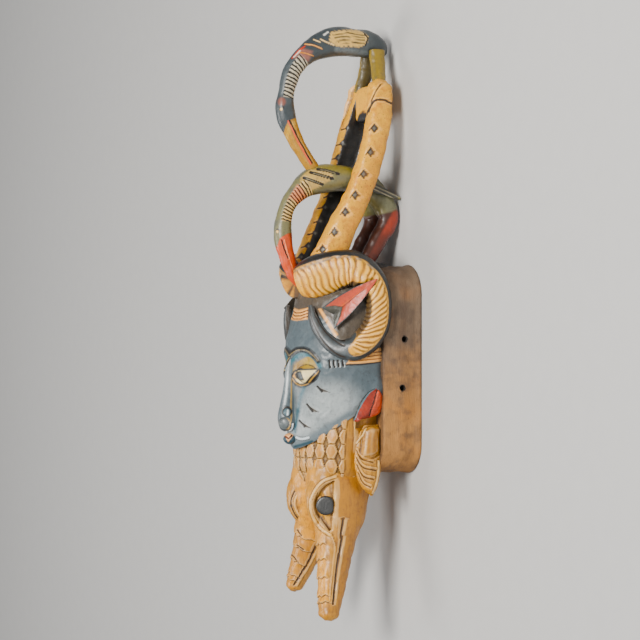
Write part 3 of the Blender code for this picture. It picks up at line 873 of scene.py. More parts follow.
def raw_finish(name):
    """Bare old wood: long grain, darker growth bands, pores, grime rubbed in by handling, and painted shade
    in the cord holes and along the front edge.
    """
    box = Finish(name)
    paint = box.attribute("paint", "Color")
    grime = box.attribute("grime")
    where = box.place()
    long_way = box.place((1.0, 0.10, 1.0), (0.0, 0.0, 0.05))
    bands = box.noise(long_way, 80.0, 3.0, 0.5, 0.9)
    grain = box.noise(long_way, 620.0, 4.0, 0.62)
    pores = box.noise(box.place((1.0, 0.16, 1.0)), 1300.0, 2.0)
    broad = box.noise(where, 24.0, 3.0, 0.6)
    blotch = box.noise(where, 75.0, 4.0, 0.62)
    fine = box.noise(where, 300.0, 4.0)
    colour = box.tone(paint, 0.44 + 0.46 * bands + 0.50 * grain + 0.26 * broad, 1.12)
    colour = box.blend((bands + 0.25 * broad).ramp(0.60, 0.78) * 0.5, colour, four("553a22"))
    colour = box.blend((blotch * 0.8 + broad * 0.4).ramp(0.55, 0.76) * 0.55, colour, four("4a3a30"))
    colour = box.blend(pores.ramp(0.60, 0.72) * 0.5, colour, four("33231a"))
    dirt_and_shade = ((grime + (broad - 0.5) * 0.6) * (0.5 + 0.7 * fine)).most(0.0).least(0.9)
    colour = box.blend(dirt_and_shade, colour, four("272019"))
    normal = box.bump(grain * 0.5 + pores * -0.3 + bands * 0.4 + blotch * 0.6, 0.6, 0.0012)
    rough = (0.58 + 0.22 * grain + 0.1 * dirt_and_shade).least(0.95)
    return box.set(base_color=colour, roughness=rough, normal=normal)


def floor_finish(name):
    """Plain pale studio floor."""
    box = Finish(name)
    fine = box.noise(box.place(), 55.0, 2.0)
    return box.set(base_color=box.tone(four("bdbcba"), 0.97 + 0.06 * fine), roughness=0.85)


FINISHES = {
    "old_oil_paint": painted_finish,
    "varnished_cream_paint": horn_finish,
    "waxed_tan_wood": waxed_finish,
    "raw_wood": raw_finish,
    "studio_floor": floor_finish,
}


def finish(name):
    """The material of that name, made once."""
    return bpy.data.materials.get(name) or FINISHES[name](name)


def hollow_height(x, y):
    """How deep the hollow reaches at a place: between two levels, where the level's oval passes 1."""
    levels = ((HOLLOW_STRAIGHT, *HOLLOW_MOUTH),) + tuple((*row, HOLLOW_FULLNESS) for row in HOLLOW)
    rings = []
    for level in levels:
        half, top, foot, fullness = level[1:]
        middle, tall = (top + foot) / 2, (top - foot) / 2
        rings.append((np.abs(x) / half) ** fullness + (np.abs(y - middle) / tall) ** fullness)
    deep = np.where(rings[0] < 1, HOLLOW_STRAIGHT, 0.0)
    for low in range(len(levels) - 1):
        share = np.clip((1 - rings[low]) / (rings[low + 1] - rings[low] + 1e-9), 0.0, 1.0)
        rise = levels[low + 1][0] - levels[low][0]
        reached = levels[low][0] + np.where(rings[low + 1] < 1, 1.0, share) * rise
        deep = np.where(rings[low] < 1, np.maximum(deep, reached), deep)
    return deep


EYE_COLUMNS = 0.14
EYE_SPREAD = 0.09


def face_grid(rows, front, base):
    """Sections of the face: a half superellipse over the front, leaned by height, above a base.

    The base keeps clear of the hollow: it is the lowest height from which all above it is clear.
    The front is sunk round the eyes by a bell of the squared distance, and its columns crowd round them
    by another.
    """
    table = through([(0.0, s[0], s[2], s[1], s[3], s[4]) for s in FACE], rows)
    height, deep, half, fullness, lean = (table[:, n, None] for n in (1, 2, 3, 4, 5))
    half = half - FACE_STEP
    even = np.linspace(0.0, 1.0, 400)
    crowd = np.cumsum(1 + 0.9 * np.exp(-(((np.abs(even - 0.5) - EYE_COLUMNS) / EYE_SPREAD) ** 2)))
    crowd = (crowd - crowd[0]) / (crowd[-1] - crowd[0])
    angle = math.pi * np.interp(np.linspace(0.0, 1.0, front), crowd, even)[None, :]
    x, z = superellipse(angle, half, deep - FACE_BASE, fullness)
    z = z + FACE_BASE
    sunk = 5.5 * np.exp(-(((np.abs(x) - 27) / 13) ** 2) - ((height + 51) / 15) ** 2)
    z = z - sunk * ramp(z, 60, 80)
    flat = np.linspace(-1.0, 1.0, base + 2)[None, 1:-1] * half
    trial = FACE_BASE + np.linspace(0.0, 1.0, 60)[:, None, None] * (deep - 7 - FACE_BASE)
    clear = trial > hollow_height(flat[None], height + lean * (deep - trial)) + WALL_CLEAR
    clear = np.flip(np.logical_and.accumulate(np.flip(clear, 0), axis=0), 0)
    floor = FACE_BASE + np.argmax(clear, axis=0) / 59.0 * (deep - 7 - FACE_BASE)
    x = np.concatenate([x, flat], axis=1)
    z = np.concatenate([z, floor], axis=1)
    return np.stack([x, height + lean * (deep - z), z], axis=-1)


# Places in the side drawing, as (across, down), of what is painted and cut on the face.
BROW_PATH = (
    (284.0, 366), (290.0, 356.0), (297.0, 350.2), (302, 349.3),
    (308.4, 351), (314.0, 356.0), (318, 360.5),
)
UPPER_LID = ((292.4, 372.5), (294.9, 365.2), (301.6, 359.6), (308.4, 356.8), (314.4, 361.8), (317.8, 368.5))
LID_LINE = ((292.0, 375.5), (294.4, 371.4), (299, 369.4), (308, 368.4), (317.8, 368.6))
LOWER_LID = (
    (292.4, 377.6), (295.2, 381.8), (301, 384.6), (306, 383.8),
    (311.5, 380.2), (316, 374.8), (318.4, 370.2),
)
CHEEK_CUTS = (
    ((317.2, 386.6), (321.6, 391.8), (330.0, 392.6)),
    ((306.8, 404.4), (312.4, 411.6), (319.0, 412.0)),
    ((299.6, 420.8), (304.0, 426.8), (311.0, 428.0)),
)
JAW_EDGE = ((295, 450), (307, 446), (324, 436.5), (339, 426.5), (351, 419))
CROWN = (
    (285, 270), (392, 270), (392, 345), (372, 348), (350, 352),
    (337, 339), (322, 318), (308, 308.5), (292, 311),
)
BROW_BAND = ((291, 321.5), (293.6, 311), (308.3, 307.5), (308, 319.5))
HORN_BAND = ((318.0, 309), (321, 308.5), (338.0, 334.5), (335.4, 337.5))
TEMPLE_BAND = (
    (346, 364), (352, 357), (357, 352), (372, 348.5),
    (388, 347), (388, 360.5), (372, 362.5), (358, 363.5),
)
TEMPLE_EDGE = ((344, 365), (360, 364.6), (388, 361.6))
# Painted shade under the ram horn's foot.
HORN_FOOT_SHADE = ((320, 338), (330, 360), (342, 372))
IRIS = (
    (294.7, 374.2), (297.4, 371.2), (303.0, 370.6), (304.6, 374.0),
    (306.6, 380.6), (300.6, 380.8), (296.2, 378.4),
)
PUPIL = ((298.4, 373.6), (302.2, 372.4), (304.8, 379.6), (300.6, 379.4))
LID_SHADE = ((291.8, 376.6), (294.2, 371.6), (298.6, 369.4), (303.0, 368.8))
LID_FOLD = ((302.0, 369.2), (309, 368.8), (317.6, 368.8))
BESIDE_NOSE = ((304.0, 388.5), (300.4, 398), (298.2, 412), (296.4, 423), (294.6, 432))
NOSE_FOOT_LINE = ((291.6, 382), (291.2, 395), (290.6, 416))
CHIN_GLINT = ((296.4, 437.4), (301.4, 438.8), (308.6, 437.6))
CHIN_SHADE = ((295, 446.5), (304, 443.8), (312, 441.2))
GROOVE_PAINT = tint("b5632f")
BROW_GROOVES = tuple(
    ((294, 313.2 + 3.0 * k), (301, 313.0 + 3.0 * k), (308, 310.4 + 3.0 * k)) for k in range(3)
)
TEMPLE_GROOVES = tuple(
    ((350 + k, 361.2 - 3.4 * k), (372, 359.4 - 3.4 * k), (388, 357.6 - 3.4 * k)) for k in range(3)
)
TEMPLE_CUTS = tuple(((329.0 + 4.4 * k, 360.5), (329.0 + 4.4 * k + 1.0, 367.5 - 0.5 * k)) for k in range(4))
TEMPLE_GLINTS = tuple(((329.0 + 4.4 * k + 1.6, 362), (329.0 + 4.4 * k + 2.4, 367)) for k in range(4))
# Centres of the painted highlights on the cheek and the chin.
CHEEK_HIGHLIGHT = (330, 404)
CHIN_HIGHLIGHT = (303, 426)
# Centre of the painted highlight on the upper lid.
LID_HIGHLIGHT = (309, 363)
LID_ROOT = (298.6, 366.5)

# Where a fade starts and ends in the drawing, across or down it; negative ones run up it.
FOREHEAD_FADE = (-350, -320)
HIGH_SHADE_FADE = (-330, -308)
# Spans of the painted shade at the back of the face and at the temple.
BACK_SHADE_FADE = (330, 372)
TEMPLE_SHADE_FADE = (350, 372)
UNDER_TEMPLE_SHADE_FADE = (376, 392)
EYE_CORNER_FADE = (294.5, 297.5)
# Span of the painted shade at the face's back, in the gap before the rim.
FACE_BACK_SHADE = (379.5, 383.0)
EYE_FRONT = 60
EYE_SUNK = 2.5


def paint_blue(skin):
    """The face's blue-greys: darker on the forehead; painted highlights, paler on the cheek and chin;
    painted shade, darker to the back, at the temple and under the horn's foot; each fading over a distance.
    """
    u, v = skin.u, skin.v
    skin.coat(0.6 * ramp(-v, *FOREHEAD_FADE), "4d575b")
    # Painted shade: the upper back of the face darker.
    skin.coat(0.5 * ramp(-v, *HIGH_SHADE_FADE) * ramp(u, *BACK_SHADE_FADE), SHADE_SLATE)
    # Painted highlights: paler slate on the cheek and on the chin.
    skin.coat(0.9 * (1 - ramp(np.hypot((u - CHEEK_HIGHLIGHT[0]) / 1.3, v - CHEEK_HIGHLIGHT[1]), 6, 34)), HIGHLIGHT_SLATE)
    skin.coat(0.9 * (1 - ramp(np.hypot((u - CHIN_HIGHLIGHT[0]) / 1.2, v - CHIN_HIGHLIGHT[1]), 4, 20)), HIGHLIGHT_SLATE)
    # Painted shade: the temple darker, and the face under the ram horn's foot.
    skin.coat(0.6 * ramp(u, *TEMPLE_SHADE_FADE) * (1 - ramp(v, *UNDER_TEMPLE_SHADE_FADE)), SHADE_SLATE)
    skin.coat(0.5 * (1 - ramp(from_path(u, v, HORN_FOOT_SHADE), 2, 12)), "464f53")


def paint_bands(skin):
    """The brown crown and the peach bands, each with three grooves evenly stepped."""
    skin.area(CROWN, UMBER, 0.8, all_round=True)
    skin.area(BROW_BAND, PEACH, 0.5, 0.6)
    for groove in BROW_GROOVES:
        skin.line(groove, GROOVE_PAINT, 0.9, -0.3)
    skin.area(HORN_BAND, PEACH, 0.5)
    skin.area(TEMPLE_BAND, PEACH, 0.6, 0.5)
    for groove in TEMPLE_GROOVES:
        skin.line(groove, GROOVE_PAINT, 0.9, -0.3)
    skin.line(TEMPLE_EDGE, SOOT, 1.2, -0.4)


def paint_eye(skin):
    """The eye as half an ellipsoid on the face, with its lids, iris and lines, and the brow over it."""
    u, v = skin.u, skin.v
    x, y = np.abs(skin.grid[..., 0]), skin.grid[..., 1]
    oval = 1 - ((x - EYE_PLACE[0]) / EYE_HALF[0]) ** 2 - ((y - EYE_PLACE[1]) / EYE_HALF[1]) ** 2
    front = skin.grid[..., 2] > EYE_FRONT
    dome = EYE_HALF[2] * np.sqrt(np.clip(oval, 0, 1)) - EYE_SUNK
    skin.lift += np.where(front, np.clip(dome, 0, None), 0.0)
    brow, upper, lower = curved(BROW_PATH), curved(UPPER_LID), curved(LOWER_LID)
    white = np.concatenate([curved(LID_LINE), lower[::-1]])
    skin.line(brow + np.array([2.2, 5.4]), TEAL, 4.2, 0.0, 1.6)
    skin.line(brow, COAL, 4.6, 0.9)
    skin.line(brow + np.array([0.2, 0.4]), BROW_GLINT, 0.4, 0.0, 0.3)
    skin.area(upper, "9c7b12", 0.5)
    # Painted highlight: a pale patch on the upper lid.
    lid_highlight = 1 - ramp(np.hypot((u - LID_HIGHLIGHT[0]) / 1.6, v - LID_HIGHLIGHT[1]), 1, 4)
    skin.coat(skin.seen(0.45 * lid_highlight, False), "cdb878")
    skin.spot(LID_ROOT, 4.4, "8a6510", 3.0)
    skin.area(white, "efdcaa", 0.5, 0.3)
    corner = (1 - ramp(u, *EYE_CORNER_FADE)) * ramp(within(u, v, white), -0.3, 0.5)
    skin.coat(skin.seen(corner, False), "d99a3e")
    skin.area(IRIS, SOOT, 0.5)
    skin.area(PUPIL, "4f5658", 0.6)
    skin.line(LID_SHADE, COAL, 2.3)
    skin.line(LID_FOLD, "33373a", 1.7)
    skin.line(lower + np.array([0.3, 1.0]), COAL, 4.4)
    skin.line(lower + np.array([0.3, 0.9]), "b88d45", 0.8, 0.2, 0.35)


def paint_cuts(skin):
    """The three wedge cuts on the cheek, deepest in their middle, and the four short ones at the temple."""
    for top, low, end in CHEEK_CUTS:
        away = within(skin.u, skin.v, (top, end, low))
        skin.lift -= 1.2 * skin.seen(ramp(away, -0.5, 1.4), False)
        skin.coat(0.8 * skin.seen(ramp(away, -0.3, 0.6), False), "6f6253")
        skin.line((top, low), SOOT, 1.7, -0.7)
        skin.line((low, end), "3d3a34", 0.7)
    for cut, glint in zip(TEMPLE_CUTS, TEMPLE_GLINTS):
        skin.line(cut, SOOT, 1.3, -1.0)
        skin.line(glint, "c3c7c4", 0.8)


def paint_face(skin):
    """The face's colours and low relief, set out on the side drawing."""
    paint_blue(skin)
    paint_bands(skin)
    paint_eye(skin)
    paint_cuts(skin)
    skin.line(curved(BESIDE_NOSE), "3a5963", 3.6, 0.0, 1.7)
    skin.line(curved(NOSE_FOOT_LINE), GOLD, 0.9)
    jaw = curved(JAW_EDGE)
    skin.line(jaw - np.array([1.0, 5.0]), "6d777b", 6.0, 0.0, 2.6)
    skin.line(curved(CHIN_GLINT), "c4ced2", 2.2, 0.8, 1.5)
    skin.line(curved(CHIN_SHADE), "2c4650", 2.6, 0.0, 1.2)
    skin.line(jaw, "3b3a33", 1.2)
    # Painted shade: the face darkened at its back, in the gap before the rim.
    skin.grime = np.maximum(skin.grime, ramp(skin.u, *FACE_BACK_SHADE) * skin.seen(1.0, False))
    skin.grime = np.maximum(skin.grime, 1 - ramp(skin.grid[..., 2], 41, 46))
    skin.uneven(0.5, 26.0)
    skin.uneven(0.16, 9.0, 4.0)


def make_face():
    """The face: half-oval sections from crown to chin, painted and cut."""
    skin = Skin(face_grid(330, 264, 24), settings().face_colour)
    paint_face(skin)
    return build("painted_face", [skin], finish("old_oil_paint"))


NOSE_SIDE_LINE = ((291.6, 380), (291.4, 392), (291.0, 407), (291.4, 417), (288.6, 429))
NOSE_GLINT = ((287.6, 372), (286.6, 392), (285.0, 404))
BRIDGE_FADE = (376, 400)
KNOB_SHADE = (287.0, 410.8)
KNOB_GLINT = ((287.6, 410.4), (287.4, 415.0))
NOSTRIL_FADE = (285, 289)
KNOB = (287.0, 412.2)
KNOB_HALF = (3.9, 4.2)
NOSTRIL = (284.2, 423.8)
NOSTRIL_HALF = (6.9, 7.0)
# Painted highlight along the nostril's wing.
NOSTRIL_HIGHLIGHT = ((292.8, 424), (291.8, 428.6), (288.8, 431.6))
LIPS = ((283.6, 432.6), (294.8, 432.6), (288.2, 441.6))
LIP_LINE = ((285.6, 436.4), (288.4, 438.6), (291.8, 435.4))


def oval_reach(skin, centre, half):
    """How far out a place is in an oval of the drawing: 1 on its edge, the root of the squared shares."""
    return np.hypot((skin.u - centre[0]) / half[0], (skin.v - centre[1]) / half[1])


def make_nose():
    """The nose as a tube down the middle, its knob half a ball, and the mouth as an ellipsoid."""
    nose = Skin(sweep(NOSE, 150, 76, 2.0), settings().face_colour)
    nose.coat(0.6 * (1 - ramp(nose.v, *BRIDGE_FADE)), "8b9496")
    brow = curved(BROW_PATH)
    nose.line(brow, COAL, 4.4)
    nose.line(brow + np.array([0.2, 0.4]), BROW_GLINT, 0.5, 0.0, 0.35)
    nose.line(curved(NOSE_SIDE_LINE), GOLD, 1.0, 0.2)
    nose.line(curved(NOSE_GLINT), "b9c0c1", 1.6, 0.0, 0.9)
    nose.spot(KNOB_SHADE, 4.8, SOOT, 0.8)
    knob = oval_reach(nose, KNOB, KNOB_HALF)
    nose.coat(nose.seen(1 - ramp(knob, 0.8, 1.0), False), "36535d")
    nose.lift += nose.seen(2.0 * np.sqrt(np.clip(1 - knob**2, 0, 1)), False)
    nose.line(KNOB_GLINT, "dfe6e8", 1.4)
    nostril = oval_reach(nose, NOSTRIL, NOSTRIL_HALF)
    nose.coat(nose.seen(1 - ramp(nostril, 0.90, 1.02), False), "33383a")
    nose.coat(nose.seen(1 - ramp(nostril, 0.74, 0.86), False), "5d6465")
    edge = nose.seen(1 - ramp(np.abs(nostril - 0.88), 0.03, 0.08), False)
    nose.coat(edge * ramp(nose.u, *NOSTRIL_FADE), GOLD)
    nose.lift -= nose.seen(0.7 * (1 - ramp(nostril, 0.6, 0.95)), False)
    # Painted highlight: a near-white stroke along the nostril's wing.
    nose.line(curved(NOSTRIL_HIGHLIGHT), "dfe4e5", 1.5, 0.6)
    front = through([(0.0, s[0], s[2]) for s in FACE][::-1], 60)
    deep = np.interp(MOUTH_PLACE, front[:, 1], front[:, 2])
    mouth = Skin(ball((0.0, MOUTH_PLACE, deep), MOUTH_HALF, 56, 64), "f6bd8c")
    mouth.coat(1 - ramp(within(mouth.u, mouth.v, LIPS), -0.8, 0.2), "27414c")
    mouth.line(LIP_LINE, "b5541f", 1.6, -0.6)
    return build("nose_and_mouth", [nose, mouth], finish("old_oil_paint"))


RAM_RIB = 5.5
RAM_RUN = 215.3
RAM_TIP_START = 0.704
TIP_CUTS = ((0.66, 0.06), (-0.30, 0.06), (-0.86, 0.14))
EAR_SEAT = ((372, 282), (364, 287), (352, 297))
FAR_ROOT_STROKES = (
    ((281.6, 275), (279.8, 286), (283.4, 296)),
    ((286.4, 273), (285, 285), (289, 295)),
    ((290.8, 276), (290, 286), (292.4, 293)),
)


def rib_ram_horn(skin, outer, wander, cream_end):
    """Ribs as a cosine along the horn, its phase slanting with the turn round it, and a raised bead."""
    share = skin.share
    phase = share * RAM_RUN / RAM_RIB + ramp(share, 0.10, 0.5) * 2.0 * outer + 0.30 * wander
    wave = 0.5 + 0.5 * np.cos(2 * math.pi * phase)
    edge = 0.74 - 0.36 * ramp(share, 0.14, 0.34)
    bead = ramp(outer - edge, 0.0, 0.05) * (1 - ramp(share, 0.70, 0.72))
    field = (1 - ramp(outer - edge, -0.10, -0.02)) * (1 - ramp(cream_end, 0.67, 0.70))
    field = field * ramp(share, 0.015, 0.04)
    groove = (1 - wave) ** 1.6
    skin.lift -= field * settings().rib_depth / UNIT * groove * (0.8 + 0.35 * wander)
    skin.coat(field * ramp(groove, 0.30, 0.85) * 0.75, "ad7430")
    # Painted highlight: the rib crests paler.
    skin.coat(field * ramp(wave, 0.6, 1.0) * 0.5, PALE_BONE)
    skin.coat(0.25 * ramp(share, 0.3, 0.6), "dba055")
    skin.coat(bead, "1b1c1c")
    inner_edge = 1 - ramp(np.abs(outer - edge + 0.035), 0.010, 0.03)
    skin.coat(inner_edge * (1 - ramp(share, 0.68, 0.7)) * 0.7, "8f8f86")
    skin.lift += bead * 0.9


def make_ram_horns():
    """The curled horns: tubes ribbed in cream as far as a tongue, with smooth dark tips."""
    skin = Skin(sweep(RAM_HORN, 440, 66, 2.4), BONE)
    outer = -np.sin(skin.angle)
    wander = skin.waves(30.0, 3.0)
    tongue = skin.share + 0.045 * (outer * 1.3) ** 2
    rib_ram_horn(skin, outer, wander, tongue)
    cream = 1 - ramp(tongue, RAM_TIP_START, RAM_TIP_START + 0.008)
    skin.coat(ramp(-outer, 0.78, 0.88) * cream * 0.9, "2e2a25")
    dark = 1 - cream
    skin.coat(dark, "3b4042")
    # Painted highlight: a paler grey stripe along the dark tip.
    skin.coat(dark * (1 - ramp(np.abs(outer - 0.22), 0.08, 0.30)) * 0.6, "5f6567")
    for middle, width in TIP_CUTS:
        near = np.abs(outer - middle - 0.3 * (skin.share - 0.72)) - width
        stroke = (1 - ramp(near, 0.0, 0.04)) * ramp(skin.share, 0.716, 0.73)
        skin.coat(stroke, "161616")
        skin.lift -= 0.5 * stroke
    skin.coat(ramp(-np.cos(skin.angle), 0.15, 0.4) * 0.8, "3f3a33")
    skin.lift -= skin.seen(3.2 * (1 - ramp(from_path(skin.u, skin.v, EAR_SEAT), 2.0, 6.5)), False)
    skin.swell += 0.35 * wander
    far = skin.mirror()
    far.u, far.v = chart(far.grid, False)
    far.facing = far.normals @ TOWARDS
    for stroke in FAR_ROOT_STROKES:
        far.line(curved(stroke), "1b1917", 1.5)
    return build("ram_horns", [skin, far], finish("varnished_cream_paint"))


EAR_CORNERS = ((46.0, 11.6, 96.0), (52.0, -9.1, 86.0), (72.5, 38.6, 50.6))
EAR_FOLD = 2.6
# At the ear's root and at its tip.
EAR_THICK = (3.4, 1.0)
EAR_PLACES = (0.0, 0.3, 0.6, 0.85, 1.0)
EAR_WIDTHS = (1.0, 0.93, 0.66, 0.32, 0.05)


def ear_grid(rings, around):
    """The ear: from a line between two corners to its tip, its root notched, folded in by a sine."""
    first, second, tip = (np.array(p) for p in EAR_CORNERS)
    root, side = (first + second) / 2, (second - first) / 2
    along = tip - root
    look = unit_vectors(np.cross(side, along))
    look = look * np.sign(look @ TOWARDS)
    share = np.linspace(0.0, 1.0, rings)[:, None]
    across = np.cos(turn_of(around))[None, :]
    height = np.sin(turn_of(around))[None, :]
    reach = share + (1 - share) ** 2 * 0.30 * (1 - np.abs(across))
    width = np.interp(share, EAR_PLACES, EAR_WIDTHS)
    fold = -EAR_FOLD * (1 - np.abs(across)) * np.sin(np.clip(share * 1.15 + 0.12, 0, 1) * math.pi) ** 0.7
    thick = EAR_THICK[0] + (EAR_THICK[1] - EAR_THICK[0]) * share
    back = (2.2 * (1 - np.abs(across)) + 1.0) * thick * height * 0.8
    over = fold + np.where(height > 0, 0.5 * height, back)
    return root + reach[..., None] * along + (width * across)[..., None] * side + over[..., None] * look


def make_ears():
    """The ears in the horns' curl: two red halves that meet in a dark fold, dark at edges, root and back."""
    skin = Skin(ear_grid(90, 72), "d04214")
    across, front = np.cos(skin.angle), np.sin(skin.angle) > 0
    skin.coat(0.7 * ramp(across, 0.03, 0.12), "c93f10")
    skin.coat(0.5 * ramp(-across, 0.25, 0.8), "a83415")
    skin.coat((1 - ramp(np.abs(across - 0.02), 0.02, 0.06)) * 0.9, "93311b")
    skin.coat((1 - ramp(np.abs(across + 0.07), 0.02, 0.06)) * 0.6, "ee8a63")
    root = skin.share + 0.10 * np.abs(np.abs(across) - 0.5)
    skin.coat(1 - ramp(root, 0.05, 0.10), "3f3d31")
    skin.coat(ramp(np.abs(across), 0.86, 0.91), "2b3d42")
    skin.coat(ramp(np.abs(across), 0.93, 0.96), SOOT)
    skin.coat(np.where(front, 0.0, 1.0), BACK_BLACK)
    skin.grime = np.where(front, 0.22 + 0.28 * (1 - ramp(np.abs(across), 0.01, 0.06)), 0.0)
    skin.uneven(0.12, 7.0, 2.0)
    return build("ears", both(skin), finish("old_oil_paint"))


LEAF_LEFT = ((353.6, 420.6), (357.0, 410.0), (361.6, 400.6), (368.0, 392.4), (375.0, 388.6))
LEAF_RIGHT = ((354.6, 420.8), (366.0, 418.4), (379.0, 413.0), (383.0, 400.0), (379.6, 388.4))
LEAF_OUT = (60.5, 58.5)
# Centre of the painted highlight on the leaf.
LEAF_HIGHLIGHT = (363, 408)
LEAF_FOLD = ((377.4, 389.6), (374.2, 401.0), (369.4, 416.0))


def make_cheek_leaves():
    """The red leaves behind the cheeks: flaps between two drawn edges, darker before their folds."""
    skin = Skin(flap(LEAF_LEFT, LEAF_RIGHT, LEAF_OUT, 4.0, 80, 72), "9c2a14")
    across = np.cos(skin.angle)
    right = ramp(skin.u - LEAF_FOLD[0][0] + (skin.v - LEAF_FOLD[0][1]) * 0.30, -0.5, 0.7)
    skin.coat(0.85 * right, "dd5430")
    # Painted highlight: a paler red patch on the leaf.
    skin.coat(0.5 * (1 - ramp(np.hypot(skin.u - LEAF_HIGHLIGHT[0], skin.v - LEAF_HIGHLIGHT[1]), 3, 9)), "c9432a")
    skin.line(curved(LEAF_FOLD), "7c2416", 1.0, -0.6)
    skin.coat(ramp(-across, 0.80, 0.86), "5f7f88")
    skin.coat(ramp(-across, 0.92, 0.96), SOOT)
    skin.coat(np.where(np.sin(skin.angle) > 0, 0.0, 1.0), BACK_BLACK)
    skin.grime = skin.seen(0.38 - 0.22 * right, False)
    skin.uneven(0.35, 8.0, 5.0)
    return build("cheek_leaves", both(skin), finish("old_oil_paint"))


DIAMONDS = ((374.5, 128), (371, 152), (364, 174), (355.5, 195), (345.5, 212), (334.5, 232), (322, 249))
TEETH = (
    (348.0, 128), (343.5, 144), (338.5, 158), (331.0, 196),
    (325.4, 207), (321, 221), (315.5, 233), (308.5, 246),
    (302, 257),
)
FAR_HORN_BLACK = (
    (361, 114), (367.5, 122), (365, 150), (352, 185), (341, 207),
    (328, 232), (311, 262), (299, 266), (308, 246),
    (315.5, 233), (321, 221), (326, 207), (331.5, 196), (342, 160), (347.5, 144), (352, 128),
)
HORN_TOP_CUT = ((365, 117), (369.4, 107), (375, 100.4), (384, 100.0), (392, 103.4))
HORN_TOP_CRACK = ((381, 84), (376.6, 90), (371.6, 101), (368.6, 112))
HORN_STAIN = (372, 128)
HORN_STAIN_FADE = (120, 150)
FAR_HORN_TRIM = (-140, -96)
BRIDGE_CUT = ((352, 112), (356, 104), (360, 97), (361, 88))


def mark_diamonds(skin):
    """Sunk dark diamonds on the near horn: where the shares of half width and half height add to under 1."""
    for x, y in DIAMONDS:
        shape = np.abs(skin.u - x) / 4.3 + np.abs(skin.v - y) / 5.2
        cover = skin.seen(1 - ramp(shape, 0.9, 1.08), False)
        skin.coat(cover, SOOT)
        glint = shape + 0.16 * (skin.u - x - skin.v + y) / 4
        skin.coat(skin.seen(1 - ramp(glint, 0.40, 0.62), False), "67645a")
        skin.lift -= cover * 1.0
        skin.line(((x - 3, y - 0.5), (x - 5.2, y + 2.4)), SOOT, 0.9, -0.3)
    skin.line(curved(HORN_TOP_CUT), BACK_BLACK, 1.9, -0.8)
    skin.line(curved(HORN_TOP_CRACK), "4a4a46", 1.0, -0.5)
    behind = skin.u - HORN_STAIN[0] + (skin.v - HORN_STAIN[1]) * 0.35
    skin.coat(0.45 * ramp(skin.v, *HORN_STAIN_FADE) * ramp(behind, 6, 14), "c0803c")


def mark_teeth(skin):
    """The far horn's black inner side with its row of teeth, and its top trimmed as it is drawn."""
    skin.area(FAR_HORN_BLACK, "141414", 0.6)
    for x, y in TEETH:
        shape = np.abs(skin.u - x) / 4.4 + np.abs(skin.v - y) / 4.6
        skin.coat(skin.seen(1 - ramp(shape, 0.9, 1.08), False), SOOT)
        skin.coat(skin.seen(1 - ramp(shape, 0.25, 0.5), False), "57564f")
        skin.line(((x - 2, y), (x - 7.5, y + 1.5)), "3a3732", 1.1, -0.4)
    skin.lift -= skin.seen(5.5 * ramp(-skin.v, *FAR_HORN_TRIM), False)


def slab(half, foot, top, low, high, rings=46, around=72):
    """A block with rounded edges: rings along Y, each a full superellipse that closes towards both ends."""
    share = np.linspace(-1.0, 1.0, rings)[:, None]
    close = np.clip(1 - np.abs(share) ** 8, 0.02, 1) ** 0.25
    x, z = superellipse(turn_of(around)[None, :], half * close, (high - low) / 2 * close, 5.0)
    y = (foot + top) / 2 + share * (top - foot) / 2 * np.ones_like(x)
    return np.stack([x, y, z + (low + high) / 2], axis=-1)


def make_antelope_horns():
    """The two upright horns, squarish tubes with black inner sides, and the block that joins their tips."""
    skins = []
    for side, mark in ((1, mark_diamonds), (-1, mark_teeth)):
        grid = sweep(ANTELOPE_HORN, 230, 60, 3.0)
        skin = Skin(grid if side > 0 else grid * FLIP, BONE, fold=side > 0)
        skin.coat(ramp(-np.cos(skin.angle), 0.62, 0.75), "191817")
        mark(skin)
        skin.uneven(0.55, 24.0, 2.0)
        skin.uneven(0.22, 9.0, 6.0)
        skins.append(skin)
    half, (foot, top), (low, high) = HORN_BRIDGE
    bridge = Skin(slab(half, foot, top, low, high), BONE)
    arch = 197 + 8.0 * np.clip(1 - (bridge.grid[..., 0] / 15.0) ** 2, 0, 1)
    bridge.coat(1 - ramp(bridge.grid[..., 1] - arch, -0.8, 0.8), "161515")
    bridge.line(curved(BRIDGE_CUT), "4a4034", 1.0, -0.5)
    bridge.uneven(0.4, 14.0, 3.0)
    return build("antelope_horns", skins + [bridge], finish("varnished_cream_paint"))


def bird_ribs(skin, start, end, count, paint, gap):
    """Ribs across a bird's neck: half of 1 plus a cosine along its line, whose phase slants round it."""
    inside = ramp(skin.share, start, start + 0.006) * (1 - ramp(skin.share, end - 0.006, end))
    inside = inside * ramp(skin.facing, -0.1, 0.15) * ramp(np.sin(skin.angle) * -1 + 0.62, 0.0, 0.1)
    wander = skin.waves(9.0, 2.0)
    phase = (skin.share - start) / (end - start) * count + 0.35 * np.sin(skin.angle) + 0.12 * wander
    wave = 0.5 + 0.5 * np.cos(2 * math.pi * phase)
    skin.coat(inside * ramp(wave, 0.25, 0.55), paint)
    skin.coat(inside * (1 - ramp(wave, 0.10, 0.32)), gap)
    skin.lift += inside * 1.1 * (wave - 0.6)
    skin.grime = np.maximum(skin.grime, inside * (1 - ramp(wave, 0.02, 0.25)) * 0.6)


